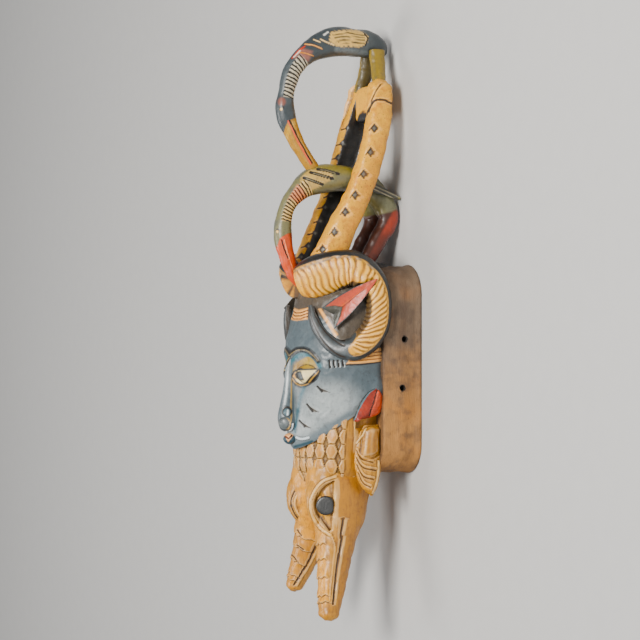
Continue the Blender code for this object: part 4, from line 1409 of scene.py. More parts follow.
UPPER_SIDE_HIGHLIGHT = ((338, 50), (366, 54))
UPPER_BACK = (
    (331, 31.6), (345, 29.5), (361, 29.8), (368.5, 37),
    (363.6, 45.9), (349.3, 46.8), (336, 45.9), (329.5, 41),
)
UPPER_BACK_CUTS = tuple(
    (
        curved(((333 + 2 * k, 34.5 + 2.8 * k), (349, 32.6 + 3.4 * k), (365, 35.0 + 2.6 * k))),
        "a08c5a",
        0.8,
        -0.3,
    )
    for k in range(4)
)
UPPER_SHOULDER_STROKES = (
    (((365, 33), (368.6, 38), (366, 45.6)), "2e2e2a", 1.0, -0.4),
    (curved(((313.6, 38.9), (320, 41.6))), "e7c38a", 1.3, 0.3),
    (curved(((321, 39.0), (327, 42), (334, 45))), "e7c38a", 1.3, 0.3),
    (curved(((304.6, 43.4), (313, 44.8), (322, 48.6))), "dd9a50", 1.3, 0.3),
    (((324, 34.2), (328, 31.4)), "f3efe4", 1.5),
)
UPPER_BREAST = ((294, 58), (300, 47), (313, 51), (309, 62), (301, 61))
UPPER_BREAST_STROKES = (
    (((299, 51.6), (306, 53.0), (313.6, 56)), "d08a48", 1.2, 0.2),
    (((291.6, 57.5), (297, 50.5), (304.5, 45.6)), "d2452c", 1.4),
    (((293.4, 56.5), (299.5, 50.0)), "efe3d3", 1.5),
)
UPPER_CROWN = (281.5, 101.5)
UPPER_EYE = (281.5, 107.4)
UPPER_EYE_GLINT = (280.9, 109.2)
UPPER_BEAK = (
    (281, 140), (284.6, 128.5), (288.6, 121.0), (295.7, 118),
    (303, 121), (330, 150), (330, 190), (300, 190),
    (280, 150),
)
UPPER_BEAK_STROKES = (
    (((290.2, 120.6), (300.4, 141), (312.6, 163)), "4a2d1c", 1.2, -0.8),
    (((288.6, 121.4), (298.6, 142), (311.0, 164)), "e0573a", 1.9, 0.2),
)


def make_upper_bird():
    """The upper bird.

    A tube through its stations, cuts over its back, ribs on its neck; two tubes as legs.
    """
    skin = Skin(sweep(UPPER_BIRD, 400, 66), BIRD_BLUE)
    skin.coat(0.35 * ramp(skin.waves(34.0, 7.0), 0.0, 0.8), "565c5d")
    # Painted highlight: a paler grey band along the body's lower side.
    skin.coat(0.5 * (1 - ramp(from_path(skin.u, skin.v, UPPER_SIDE_HIGHLIGHT), 1, 5)), "7d878b")
    ragged = 1.0 * np.sin(skin.u * 1.3) * np.cos(skin.v * 2.1)
    patch = within(skin.u, skin.v, curved(UPPER_BACK, 40))
    skin.coat(skin.seen(ramp(patch + ragged, -0.7, 0.7), False), "ddb878")
    skin.lines(UPPER_BACK_CUTS + UPPER_SHOULDER_STROKES)
    skin.area(UPPER_BREAST, "8d6259", 1.8)
    skin.lines(UPPER_BREAST_STROKES)
    bird_ribs(skin, 0.440, 0.635, 12, "b5ab93", "3c3d3a")
    crown = np.hypot(skin.u - UPPER_CROWN[0], skin.v - UPPER_CROWN[1])
    skin.coat(skin.seen(0.6 * (1 - ramp(crown, 2.5, 6.0)), False), "a0604f")
    skin.spot(UPPER_EYE, 2.4, SOOT)
    skin.spot(UPPER_EYE_GLINT, 1.4, PALE_BONE)
    inside = within(skin.u, skin.v, UPPER_BEAK)
    skin.coat(ramp(inside, -0.5, 0.5), "b07f2a")
    skin.coat(0.55 * (1 - ramp(np.abs(inside - 4.2), 0.8, 2.4)) * ramp(inside, 0, 1), "cfa85c")
    skin.lines(UPPER_BEAK_STROKES)
    skin.uneven(0.35, 22.0, 2.0)
    skin.lift -= 0.95
    leg = Skin(sweep(UPPER_LEG, 50, 36), "8a7438")
    leg.coat(0.6 * (1 - ramp(np.abs(np.cos(leg.angle + 0.6)), 0.1, 0.5)), "6e6034")
    leg.coat(0.85 * ramp(-np.cos(leg.angle), 0.0, 0.35), "3d3826")
    leg.uneven(0.4, 12.0, 3.0)
    return build("upper_bird", [skin] + both(leg), finish("old_oil_paint"))


LOWER_SIDE_HIGHLIGHT = ((318, 194), (340, 190))
LOWER_PATCH = (
    (300, 178), (307, 171), (318, 167.5), (329, 171), (333, 177),
    (324, 184), (314, 190), (305, 191), (300, 186),
)
LOWER_FEATHERS = (
    ((317.7, 168.5), (326, 169.8), (338.6, 173.4)),
    ((310.5, 171.8), (320, 174.6), (332.6, 178.6)),
    ((303.8, 177.4), (311, 180), (322.6, 184.6)),
)
LOWER_BREAST = ((287, 200), (297, 184), (306, 187), (298, 202))
LOWER_EYE = (277.2, 230.6)
LOWER_EYE_GLINT = (276.8, 231.6)
LOWER_BEAK = ((274, 252), (280, 238), (288.5, 233.5), (294, 233), (310, 238), (320, 300), (270, 300))
LOWER_BEAK_STROKES = (
    (curved(((281.6, 240), (284.8, 250), (288.4, 258))), OXBLOOD, 1.2, -0.9),
    (curved(((284.6, 240), (288.6, 256), (295, 273))), "f0906a", 1.2, 0.3),
)
WING_CUTS = tuple((((374, 178.5 + 3.6 * k), (403, 192 + 3.6 * k)), "9a937c", 0.9, 0.3) for k in range(4))
TAIL_FADE = (-179, -168)
BREAST_FADES = ((190, 197), (296, 302))
LOWER_BEAK_SIDE = (290, 240)
WING_TIP_FADE = (396, 401)
KNEE = (378.0, 222.0)
SHANK_FADE = (214, 216)
FOOT_FADE = (222, 244)
SHANK_RED = 386
SHANK_HIGHLIGHT = 374


def make_lower_bird():
    """The lower bird.

    A tube with feathers, a ribbed neck and a red beak; leaves as wings and tubes as legs.
    """
    skin = Skin(sweep(LOWER_BIRD, 380, 72), MOSS)
    skin.coat(ramp(-skin.v, *TAIL_FADE) * 0.95, OLIVE)
    skin.coat(0.7 * ramp(skin.waves(30.0, 4.0), 0.0, 0.8), "5d6056")
    # Painted highlight: a paler grey band along the body's lower side.
    skin.coat(0.5 * (1 - ramp(from_path(skin.u, skin.v, LOWER_SIDE_HIGHLIGHT), 1, 5)), "8f8e80")
    down, across = BREAST_FADES
    skin.coat(ramp(skin.v, *down) * ramp(skin.u, *across) * 0.7, "6a5f1f")
    ragged = 0.9 * np.sin(skin.u * 1.5) * np.cos(skin.v * 1.9)
    patch = within(skin.u, skin.v, curved(LOWER_PATCH, 40))
    skin.coat(skin.seen(0.8 * ramp(patch + ragged, -1.2, 1.2), False), "c9a869")
    for feather in LOWER_FEATHERS:
        first, last = np.array(feather[0]), np.array(feather[2])
        skin.line(feather, "2b2c29", 3.0, -0.5)
        inner = (first * 0.85 + last * 0.15, feather[1], first * 0.15 + last * 0.85)
        skin.line(inner, "9a9070", 1.1, 0.3)
    skin.area(LOWER_BREAST, "c0896a", 1.0)
    bird_ribs(skin, 0.455, 0.675, 14, "c9a86c", "6a5430")
    pink = 0.6 * ramp(skin.share, 0.485, 0.50) * (1 - ramp(skin.share, 0.555, 0.57))
    skin.coat(skin.seen(pink, False) * ramp(np.sin(skin.angle) * -1 + 0.62, 0.0, 0.1), "c9604c")
    skin.spot(LOWER_EYE, 2.1, SOOT)
    skin.spot(LOWER_EYE_GLINT, 1.3, PALE_BONE)
    beak = ramp(within(skin.u, skin.v, LOWER_BEAK), -0.5, 0.5)
    skin.coat(beak, "d4532e")
    shaded = skin.u - LOWER_BEAK_SIDE[0] - (skin.v - LOWER_BEAK_SIDE[1]) * 0.38
    skin.coat(beak * ramp(shaded, 0, 3), "8a3620")
    skin.lines(LOWER_BEAK_STROKES)
    skin.uneven(0.35, 22.0, 1.0)
    skin.lift -= 0.7
    wing = Skin(leaf(WING, 70, 48), "33342c")
    wing.lines(WING_CUTS)
    wing.coat(0.7 * ramp(wing.u, *WING_TIP_FADE), OLIVE)
    leg = Skin(sweep(LOWER_LEG, 90, 44), "6c6b52")
    leg.coat(0.5 * ramp(np.sin(leg.angle), 0.2, 0.7), OLIVE)
    shank = ramp(leg.v + (leg.u - KNEE[0]) * 0.25, *SHANK_FADE)
    below = (leg.v - KNEE[1]) * 0.55
    leg.coat(shank, "3f2219")
    leg.coat(shank * ramp(leg.u - SHANK_RED + below, 0, 3) * (1 - 0.75 * ramp(leg.v, *FOOT_FADE)), "94331e")
    # Painted highlight: a pale grey streak down the shank.
    leg.coat(shank * 0.7 * (1 - ramp(np.abs(leg.u - SHANK_HIGHLIGHT + below), 0.4, 2.2)), "8e7f7c")
    leg.uneven(0.4, 14.0, 3.0)
    return build("lower_bird", [skin] + both(wing) + both(leg), finish("old_oil_paint"))


SCALE_WIDE = 12.7
SCALE_TALL = 14.3
SCALE_START = 125.2
SCALES_REACH = 58.0
NECK_EDGE = ((354.6, 420), (354.6, 478))


def cut_scales(skin):
    """Six-sided scales, in steps of a width across and a height upright.

    A scale ends where the distance across plus about half of that upright passes half a step.
    """
    around = skin.grid.shape[1]
    step = np.linalg.norm(np.diff(skin.grid, axis=1, append=skin.grid[:, :1]), axis=-1)
    run = np.cumsum(step, axis=1)
    run = run - run[:, around // 4][:, None]
    wander = skin.waves(16.0, 8.0)
    y = skin.grid[..., 1]
    column = run / SCALE_WIDE + 0.5 + 0.03 * wander
    row = (y + SCALE_START) / SCALE_TALL + 0.03 * wander
    across = np.abs(column - np.round(column))
    upright = np.abs(row - np.round(row))
    gap = np.minimum(0.5 - upright, 0.5 - across - 0.52 * upright)
    near = ramp(SCALES_REACH - np.abs(run), 0.0, 2.0) * ramp(-y, 92, 96)
    near = near * ramp(np.sin(skin.angle), -0.5, -0.2)
    stand = settings().scale_height / UNIT
    skin.lift += near * (stand * (ramp(gap, -0.03, 0.07) - 0.6) + 0.35 * ramp(gap, 0.07, 0.45))
    skin.lift -= near * 0.8 * ramp(-gap, 0.0, 0.12)
    skin.grime = near * 0.5 * (1 - ramp(np.abs(gap + 0.005), 0.01, 0.04))
    skin.coat(near * 0.75 * (1 - ramp(gap, -0.05, 0.01)), "93733a")
    skin.coat(near * 0.8 * (1 - ramp(np.abs(gap), 0.015, 0.05)), "6e4a26")
    skin.coat(near * 0.35 * ramp(gap, 0.10, 0.3), "cf9257")
    skin.coat(0.5 * ramp(np.abs(run), 48, 70), "97683a")


def make_neck(rows=240, around=248):
    """The scaled neck: superellipse sections by height, kept clear of the hollow."""
    table = through([(0.0, s[0], s[2], s[1], s[3], s[4]) for s in NECK], rows)
    height, front, half, upper, lower = (table[:, n, None] for n in (1, 2, 3, 4, 5))
    angle = turn_of(around)[None, :]
    base = NECK_BASE + 13.0 * ramp(-height, 146, 178)
    deep = (front - base) / 2
    x, z = superellipse(angle, half, deep, np.where(np.sin(angle) < 0, lower, upper))
    z = z + base + deep
    y = height * np.ones_like(x)
    z = np.maximum(z, hollow_height(x, y) + WALL_CLEAR)
    skin = Skin(np.stack([x, y, z], axis=-1), TAN)
    cut_scales(skin)
    skin.lift -= 5.0 * ramp(-y, 140, 158)
    skin.line(NECK_EDGE, "d6a663", 1.0, 0.7)
    skin.uneven(0.35, 20.0, 5.0)
    return build("scaled_neck", [skin], finish("waxed_tan_wood"))


LOBE_LEFT = (
    (363.6, 425.4), (357.6, 438.0), (355.0, 452.0), (355.4, 470.0),
    (359.0, 483.0), (366.0, 491.4), (370.6, 495.0),
)
LOBE_RIGHT = (
    (379.0, 424.6), (380.6, 438.0), (380.8, 455.0), (380.4, 471.0),
    (378.4, 483.0), (375.6, 491.0), (372.4, 495.6),
)
LOBE_OUT = (52.5, 54.5)
LOBE_PILLOW = (
    (364, 430), (371, 427), (379, 428), (379.4, 440),
    (378, 453.4), (370, 457.4), (362.6, 457.6), (362.4, 445),
)
LOBE_FOLD_HIGHLIGHT = ((366.2, 428.4), (361.6, 436.4), (356.6, 443.0))
LOBE_FAN = (
    ((356.6, 450.7), (361, 458.4), (373, 462.6)),
    ((356.8, 457.9), (362.4, 467), (376, 470.6)),
    ((357.2, 465), (364.2, 477), (373.6, 479.6)),
    ((358.4, 473), (364.6, 484.6), (370.6, 487.4)),
)
LOBE_EDGE = ((378.4, 461), (378.0, 472), (375.8, 484), (372.8, 493))


def make_neck_ears():
    """The folded lobes behind the neck.

    A flap with a pillow at its root and folds that fan out to its tip.
    """
    skin = Skin(flap(LOBE_LEFT, LOBE_RIGHT, LOBE_OUT, 5.0, 130, 80), TAN)
    pillow = within(skin.u, skin.v, curved(LOBE_PILLOW, 40))
    moat = 1 - ramp(np.abs(pillow + 1.6), 0.4, 1.8)
    skin.lift += skin.seen(2.4 * ramp(pillow, -0.8, 4.0) - 0.8 * moat, False)
    skin.coat(0.45 * skin.seen(ramp(pillow, 0, 3), False), "a5744a")
    # Painted highlight: a pale raised line along the fold.
    skin.line(LOBE_FOLD_HIGHLIGHT, "f0c684", 1.6, 1.0)
    for path in LOBE_FAN:
        fold = curved(path)
        skin.line(fold, "99682f", 0.8, -0.6)
        skin.line(fold - np.array([0.0, 2.4]), "d39a55", 1.8, 0.6, 1.0)
    skin.line(curved(LOBE_EDGE), "ecc486", 1.8, 0.9, 0.9)
    skin.uneven(0.4, 11.0, 2.0)
    return build("neck_lobes", both(skin), finish("waxed_tan_wood"))


PLATES_START = -204.0
PLATES_END = -270.0
SNOUT_BACK_FADE = (334, 340)


def snout_skin(side):
    """One head: a tube through its stations, its muzzle stepped like plates between cut rings.

    A plate rises by a power of the share of the way along it, and a sine across it scallops its end.
    """
    reach, thick = SNOUT_LENGTHS[side], SNOUT_THICKNESS[side]
    stations = np.array(SNOUT_HEAD)
    beyond = np.minimum(stations[:, 1] - SNOUT_START, 0.0)
    share = beyond / beyond.min()
    stations[:, 1] += beyond * (reach - 1)
    stations[:, 3:] *= 1 - (1 - thick) * share[:, None]
    grid = sweep(stations, 290, 92, 2.5)
    skin = Skin(grid if side > 0 else grid * FLIP, TAN, fold=side > 0)
    middle = skin.grid.mean(axis=1, keepdims=True)
    height = middle[..., 1] * np.ones(skin.lift.shape)
    top = skin.grid[..., 2] - middle[..., 2]
    flank = np.abs(skin.grid[..., 0]) - np.abs(middle[..., 0])
    front = ramp(top, 0.0, 3.0) * (1 - ramp(flank, 8.5, 10.5))
    scallop = 1.6 * np.abs(np.sin(flank * 0.42))
    cuts = (PLATES_START, *SNOUT_RINGS, PLATES_END)
    places = [SNOUT_START + (place - SNOUT_START) * reach for place in cuts]
    for start, end in zip(places[:-1], places[1:]):
        along = (start - height - scallop) / (start - end)
        plate = np.where((along >= 0) & (along < 1), along, 0.0)
        skin.lift += front * (1.3 * plate**1.3 - 0.15 * (plate > 0))
        near = 1 - ramp(np.abs(height + scallop - end), 0.3, 1.0)
        skin.coat(0.7 * near * front, "5f4122")
        skin.grime = np.maximum(skin.grime, 0.4 * near * front)
        # The muzzle's top coated lighter tan: partly its own paler stain, partly painted light on the face
        # that looks up.
        skin.coat(0.45 * front, "dc9c48")
        skin.coat(0.35 * front * ramp(plate, 0.6, 1.0), "e6ac60")
    skin.coat(0.35 * ramp(-height, 268 * reach, 276 * reach) * front, NUT)
    skin.coat(0.6 * ramp(skin.u, *SNOUT_BACK_FADE) * (side > 0), "a07147")
    skin.uneven(0.45, 16.0, 3.0)
    return skin


LENS = (
    (334.0, 480.6), (324, 485.6), (317, 494.0), (313.8, 504.5),
    (316.0, 515.0), (321.6, 523.4), (329.6, 531.0),
    (332.6, 517.4), (334.2, 500),
)
SOCKET_EDGE = (
    (334.6, 476.6), (322.5, 481.6), (314.4, 491.4), (310.6, 504.5),
    (312.8, 516.4), (319.0, 526.6), (330.0, 535.0),
)
SOCKET_STROKES = (
    (curved(SOCKET_EDGE, 40), "eab976", 2.4, 1.0, 0.9),
    (curved(LENS[:7], 40), "6a4827", 1.1),
    (((315.6, 514.6), (321.6, 523.2), (328.6, 530.4)), "2a1f15", 1.3),
    (((334.4, 482), (334.8, 501)), "f0c684", 1.3),
)
NEAR_MOUTH = ((342.1, 518), (341.6, 532), (340.4, 547.8), (338.2, 559), (336, 575.6), (333.2, 604))
NEAR_SNOUT_STROKES = (
    (curved(NEAR_MOUTH), "4a2f18", 1.5, -1.3, 0.6),
    (curved(((344.2, 520), (342.6, 548), (338.4, 577), (336.0, 598))), "d9a560", 1.6, 0.5),
    (curved(((330.6, 533), (334.6, 546), (333.2, 562), (331.4, 580), (329.4, 600))), "dca45c", 1.0, 0.4),
)
NEAR_TIP = (330.0, 610.0)
FAR_SNOUT_STROKES = (
    (curved(((318.4, 542), (309.9, 558.9), (302, 572), (294.0, 584.8))), "4a2f18", 1.5, -1.3, 0.6),
    (curved(((320.4, 543), (312.2, 559.8), (304, 573.6), (296.4, 585.6))), "e6b470", 1.4, 0.6),
    (((297.8, 530), (301.6, 535.6)), "7a5228", 1.2, -0.8),
    (((297.8, 545), (303.4, 549.2)), "7a5228", 1.2, -0.8),
    (((292.4, 555), (298.6, 562.4)), "7a5228", 1.2, -0.8),
)
FAR_SOCKET_STROKES = (
    (curved(((301.4, 484), (294, 492), (290.8, 502), (293.6, 512), (301, 522)), 30), "5f4122", 1.3, -0.8),
    (curved(((304.4, 486), (297.6, 494), (294.6, 503), (297.4, 512), (303, 519)), 30), "e6b470", 1.6, 0.7),
)
FAR_EYE = (291.2, 506)
LIP_SIDE_FADE = (334.2, 335.4)
LIP_TOP_FADE = (470, 478)
LIP_FOOT_FADE = (520, 532)
HEAD_EYE_SHADE_EDGE = (331.2, 332.2)
HEAD_EYE_PLACE = (38.6, -176.5, 88.4)
HEAD_EYE_LOOK = (0.86, 0.0, 0.51)


def sink_socket(skin):
    """A head's eye socket: the drawing's lens sunk over two units, a lip beside it and strokes round it."""
    away = within(skin.u, skin.v, curved(LENS + LENS[:1], 70))
    side = ramp(skin.u, *LIP_SIDE_FADE) * ramp(skin.v, *LIP_TOP_FADE) * (1 - ramp(skin.v, *LIP_FOOT_FADE))
    skin.lift -= skin.seen(4.4 * ramp(away, -0.7, 1.3), False)
    skin.lift += skin.seen(0.9 * side, False)
    skin.coat(skin.seen(0.6 * ramp(away, 0, 2), False), "d9a560")
    skin.lines(SOCKET_STROKES)


def make_heads():
    """The two long-snouted heads.

    A tube and an ellipsoid bulge each, cut mouth lines, and low bosses as eyes.
    """
    near, far = snout_skin(1), snout_skin(-1)
    bulge = Skin(ball(BULGE_PLACE, BULGE_HALF, 116, 100), TAN)
    sink_socket(near)
    sink_socket(bulge)
    near.lines(NEAR_SNOUT_STROKES)
    tip = np.hypot((near.u - NEAR_TIP[0]) / 1.6, near.v - NEAR_TIP[1])
    near.coat(near.seen(0.5 * (1 - ramp(tip, 2, 7)), False), "7a5228")
    far.lines(FAR_SNOUT_STROKES)
    other = Skin(ball(BULGE_PLACE, BULGE_HALF, 116, 100) * FLIP, TAN, fold=False)
    other.lines(FAR_SOCKET_STROKES)
    other.spot(FAR_EYE, 1.9, "231d17", 0.6)
    for skin in (bulge, other):
        skin.uneven(0.4, 16.0, 3.0)
    eyes = []
    for flip in (np.ones(3), FLIP):
        eye = Skin(disc(HEAD_EYE_PLACE, HEAD_EYE_LOOK, 9.2, 3.2) * flip, "232322")
        # Painted shade: the disc's cut outer side near-black.
        eye.coat(ramp(eye.u, *HEAD_EYE_SHADE_EDGE), "12110e")
        eyes.append(eye)
    build("head_eyes", eyes, finish("old_oil_paint"))
    return build("snout_heads", [near, far, bulge, other], finish("waxed_tan_wood"))


def disc(centre, look, radius, deep, rings=30, around=64):
    """A low round boss, cut straight on its outer side, as rings from its foot to its middle.

    A ring's radius is the full one times a power of the cosine of its step, its height that of the sine.
    """
    look = unit_vectors(np.array(look, float))
    side = unit_vectors(np.cross(look, [0.0, 1.0, 0.0]))
    up = np.cross(side, look)
    share = np.linspace(0.0, 1.0, rings)[:, None]
    wide = radius * np.minimum(1.0, np.cos(share * math.pi / 2) ** 0.28)
    rise = deep * np.sin(share * math.pi / 2) ** 0.5
    angle = turn_of(around)[None, :]
    u = np.clip(wide * np.cos(angle), -0.80 * radius, radius)
    v = wide * np.sin(angle)
    rise = (rise * np.ones_like(angle))[..., None]
    return np.array(centre) + u[..., None] * side + v[..., None] * up + rise * look


def rim_outline(inset, dip, count):
    """The rim's outline, evenly stepped: a rounded oblong brought in by a wall, its top edge dipped.

    The dip is the given one times 1 less the square of the share of the way out to the corner.
    """
    half = RIM_HALF_WIDTH - inset
    top, foot = RIM_TOP - inset, RIM_FOOT + inset
    corner = max(RIM_CORNER - inset, 6.0)
    quarter = np.linspace(0.0, math.pi / 2, 40)
    dense = []
    for turn, (sign, end) in enumerate(((1, top), (-1, top), (-1, foot), (1, foot))):
        a = quarter + turn * math.pi / 2
        towards = -1 if end == top else 1
        x, y = sign * (half - corner) + corner * np.cos(a), end + towards * corner + corner * np.sin(a)
        dense.append(np.stack([x, y], axis=1))
    dense = np.concatenate(dense + [dense[0][:1]])
    run = np.concatenate([[0.0], np.cumsum(np.linalg.norm(np.diff(dense, axis=0), axis=1))])
    place = np.linspace(0.0, run[-1], count, endpoint=False)
    outline = np.stack([np.interp(place, run, dense[:, n]) for n in (0, 1)], axis=1)
    reach = np.clip(1 - (outline[:, 0] / (half - corner)) ** 2, 0.0, 1.0)
    outline[:, 1] -= dip * reach * (outline[:, 1] > 0)
    return outline


def hollow_rings(row, turn, thick):
    """One level of the hollow as a ring: a superellipse, grown and raised by a thickness."""
    z, half, middle, tall = row[:4]
    x, y = superellipse(turn, half + thick, tall + thick, HOLLOW_FULLNESS)
    return np.column_stack([x, y + middle, np.full(len(turn), z + thick)])


FLARE_START = 20.5
FLARE_RUN = 18.5
# The rim's front edge as ways down and in from its flare, and its back edge as heights and ways in.
RIM_ROUNDING = ((0.0, 4.0), (0.4, 1.6), (1.4, 0.3))
RIM_BACK_EDGE = [(0.4, 0.5), (0.0, 1.5)]


def rim_grid(count):
    """The bowl's rings: over a hidden dome, out to the rim, down its wall, round its back, up inside."""
    rings = []
    mouth = rim_outline(RIM_WALL, 0.0, count)
    turn = np.arctan2((mouth[:, 1] - mouth[:, 1].mean()) / 1.5, mouth[:, 0])
    dome = through(
        [(z, half, (top + foot) / 2, (top - foot) / 2, 0.0) for z, half, top, foot in HOLLOW], 40,
    )
    for row in dome[::-1][::2]:
        rings.append(hollow_rings(row, turn, 1.0))
    edge = [(RIM_DEPTH - down, RIM_FLARE + inset) for down, inset in RIM_ROUNDING]
    for z in np.linspace(38.0, 1.5, 30):
        edge.append((z, RIM_FLARE * (z - FLARE_START) / FLARE_RUN if z > FLARE_START else 0.0))
    edge += RIM_BACK_EDGE
    for z, inset in edge:
        rings.append(np.column_stack([rim_outline(inset, RIM_TOP_DIP, count), np.full(count, z)]))
    for inset in (4.0, 6.5):
        dip = RIM_TOP_DIP * (1 - inset / RIM_WALL)
        rings.append(np.column_stack([rim_outline(inset, dip, count), np.zeros(count)]))
    for z in np.linspace(0.0, HOLLOW_STRAIGHT, 24):
        inset = RIM_WALL - 0.9 * (1 - ramp(np.array(z), 0.0, 1.5))
        rings.append(np.column_stack([rim_outline(inset, 0.0, count), np.full(count, z)]))
    for row in dome:
        rings.append(hollow_rings(row, turn, 0.0))
    return np.array(rings)


def make_rim(count=300):
    """The rim and hollow as one bowl of bare wood, in slow knife waves, with the cord holes drilled."""
    skin = Skin(rim_grid(count), settings().rim_colour)
    z, y = skin.grid[..., 2], skin.grid[..., 1]
    outside = (skin.share > 0.15) & (skin.share < 0.5)
    drift = skin.waves(60.0, 5.0)
    skin.coat(0.85 * ramp(y + 14 * drift, -62, -20), "66584a")
    skin.coat(0.55 * ramp(-y + 10 * drift, 70, 100), "b58350")
    skin.coat(0.35 * ramp(drift, 0.2, 0.9), "b5763f")
    # Darker at the top and foot ends and along the back edge; outside, painted shade along the front edge in
    # the gap under the face; inside, darker deeper into the hollow.
    skin.grime = 0.30 * ramp(y, 30, 52) + 0.35 * ramp(-y, 128, 148) + 0.2 * (1 - ramp(z, 0, 5))
    skin.grime = np.where(outside, skin.grime + 0.8 * ramp(z, 39.0, 40.6), 0.30 + 0.25 * ramp(z, 10, 60))
    flat = ramp(z, 1.0, 8.0)
    knife = 0.8 + 0.8 * skin.waves(46.0, 3.0) + 0.35 * skin.waves(17.0, 8.0)
    skin.lift -= np.where(outside, flat * knife, 0.0)
    skin.lift += np.where(outside, 0.0, flat * 0.5 * skin.waves(22.0, 1.0))
    made = build("raw_rim", [skin], finish("raw_wood"), 40.0)
    for side in (1, -1):
        for height, depth in HOLE_PLACES:
            centre = (side * (RIM_HALF_WIDTH - RIM_WALL / 2), height, depth)
            drill(made, centre, settings().hole_radius / UNIT)
    made.data.set_sharp_from_angle(angle=math.radians(40))
    return made


PEG_REACH = 9.0
# The hole walls painted dark as shade, as seen looking into the hollow.
HOLE_SHADE = (
    ("paint", "color", (*tint("1f1712"), 1.0)),
    ("grime", "value", 0.95),
    ("bend", "value", 0.0),
    ("bare", "value", 0.0),
)


def drill(target, centre, radius, sides=48):
    """A round hole along X, cut through the rim by a peg; its wall is painted dark as shade."""
    angle = turn_of(sides)
    y, z = centre[1] + radius * np.cos(angle), centre[2] + radius * np.sin(angle)
    ends = [np.stack([np.full(sides, centre[0] + x), y, z], axis=1) for x in (-PEG_REACH, PEG_REACH)]
    points = np.concatenate(ends) * UNIT
    j = np.arange(sides)
    k = (j + 1) % sides
    quads = np.stack([j, k, sides + k, sides + j], axis=1).tolist()
    mesh = bpy.data.meshes.new("peg")
    mesh.from_pydata(points.tolist(), [], quads + [j[::-1].tolist(), (sides + j).tolist()])
    mesh.materials.append(target.data.materials[0])
    peg = bpy.data.objects.new("peg", mesh)
    bpy.context.scene.collection.objects.link(peg)
    cut = target.modifiers.new("hole", "BOOLEAN")
    cut.operation, cut.object, cut.solver = "DIFFERENCE", peg, "EXACT"
    graph = bpy.context.evaluated_depsgraph_get()
    made = bpy.data.meshes.new_from_object(target.evaluated_get(graph))
    target.modifiers.clear()
    old = target.data
    target.data = made
    bpy.data.meshes.remove(old)
    bpy.data.objects.remove(peg)
    bpy.data.meshes.remove(mesh)
    count = len(made.vertices)
    place = np.empty(count * 3, np.float32)
    made.vertices.foreach_get("co", place)
    place = place.reshape(-1, 3) / UNIT
    wall = np.hypot(place[:, 1] - centre[1], place[:, 2] - centre[2]) < radius + 0.02
    wall &= np.abs(place[:, 0] - centre[0]) < PEG_REACH + 0.5
    for name, kind, value in HOLE_SHADE:
        data = made.attributes[name].data
        values = np.empty(count * np.size(value), np.float32)
        data.foreach_get(kind, values)
        values.reshape(count, -1)[wall] = value
        data.foreach_set(kind, values)


def lamp(name, place, size, power, colour):
    """A square area light that faces the mask."""
    data = bpy.data.lights.new(name, "AREA")
    data.shape, data.size, data.energy, data.color = "SQUARE", size, power, colour
    made = bpy.data.objects.new(name, data)
    back = unit_vectors(np.array(place, float) - AIM)
    right = unit_vectors(np.cross([0.0, 1.0, 0.02], back))
    axes = np.eye(4)
    axes[:3, :3] = np.column_stack([right, np.cross(back, right), back])
    axes[:3, 3] = place
    made.matrix_world = mathutils.Matrix(axes.tolist())
    bpy.context.scene.collection.objects.link(made)
    return made


FLOOR_HALF = 6
FLOOR_CORNERS = [(x * FLOOR_HALF, y * FLOOR_HALF, 0) for x, y in ((-1, -1), (1, -1), (1, 1), (-1, 1))]
SENSOR = 36.0
# Lights: name, place, size, power and colour.
LAMPS = (
    ("key_light", (0.95, 0.35, 1.7), 0.65, 60.0, (1.0, 0.97, 0.92)),
    ("side_light", (2.0, -0.9, 0.8), 1.0, 10.0, (0.93, 0.97, 1.0)),
    ("front_light", (-0.9, -0.3, 1.7), 0.8, 17.0, (1.0, 0.98, 0.95)),
)
SKY_COLOUR = (0.92, 0.95, 1.0, 1.0)
SKY_STRENGTH = 0.32


def make_stage():
    """A pale floor, soft lights and the camera of the side drawing."""
    mesh = bpy.data.meshes.new("studio_floor")
    mesh.from_pydata(FLOOR_CORNERS, [], [(0, 1, 2, 3)])
    mesh.materials.append(finish("studio_floor"))
    floor = bpy.data.objects.new("studio_floor", mesh)
    bpy.context.scene.collection.objects.link(floor)
    for light in LAMPS:
        lamp(*light)
    world = bpy.context.scene.world or bpy.data.worlds.new("studio")
    bpy.context.scene.world = world
    world.use_nodes = True
    back = world.node_tree.nodes["Background"]
    back.inputs["Color"].default_value = SKY_COLOUR
    back.inputs["Strength"].default_value = SKY_STRENGTH
    data = bpy.data.cameras.new("camera")
    data.sensor_width = SENSOR
    data.lens = DRAWN * SENSOR / DRAWING
    camera = bpy.data.objects.new("camera", data)
    axes = np.eye(4)
    axes[:3, :3] = np.column_stack([ACROSS, [0.0, 1.0, 0.0], TOWARDS])
    axes[:3, 3] = AIM + AWAY * TOWARDS
    camera.matrix_world = mathutils.Matrix(axes.tolist())
    bpy.context.scene.collection.objects.link(camera)
    bpy.context.scene.camera = camera


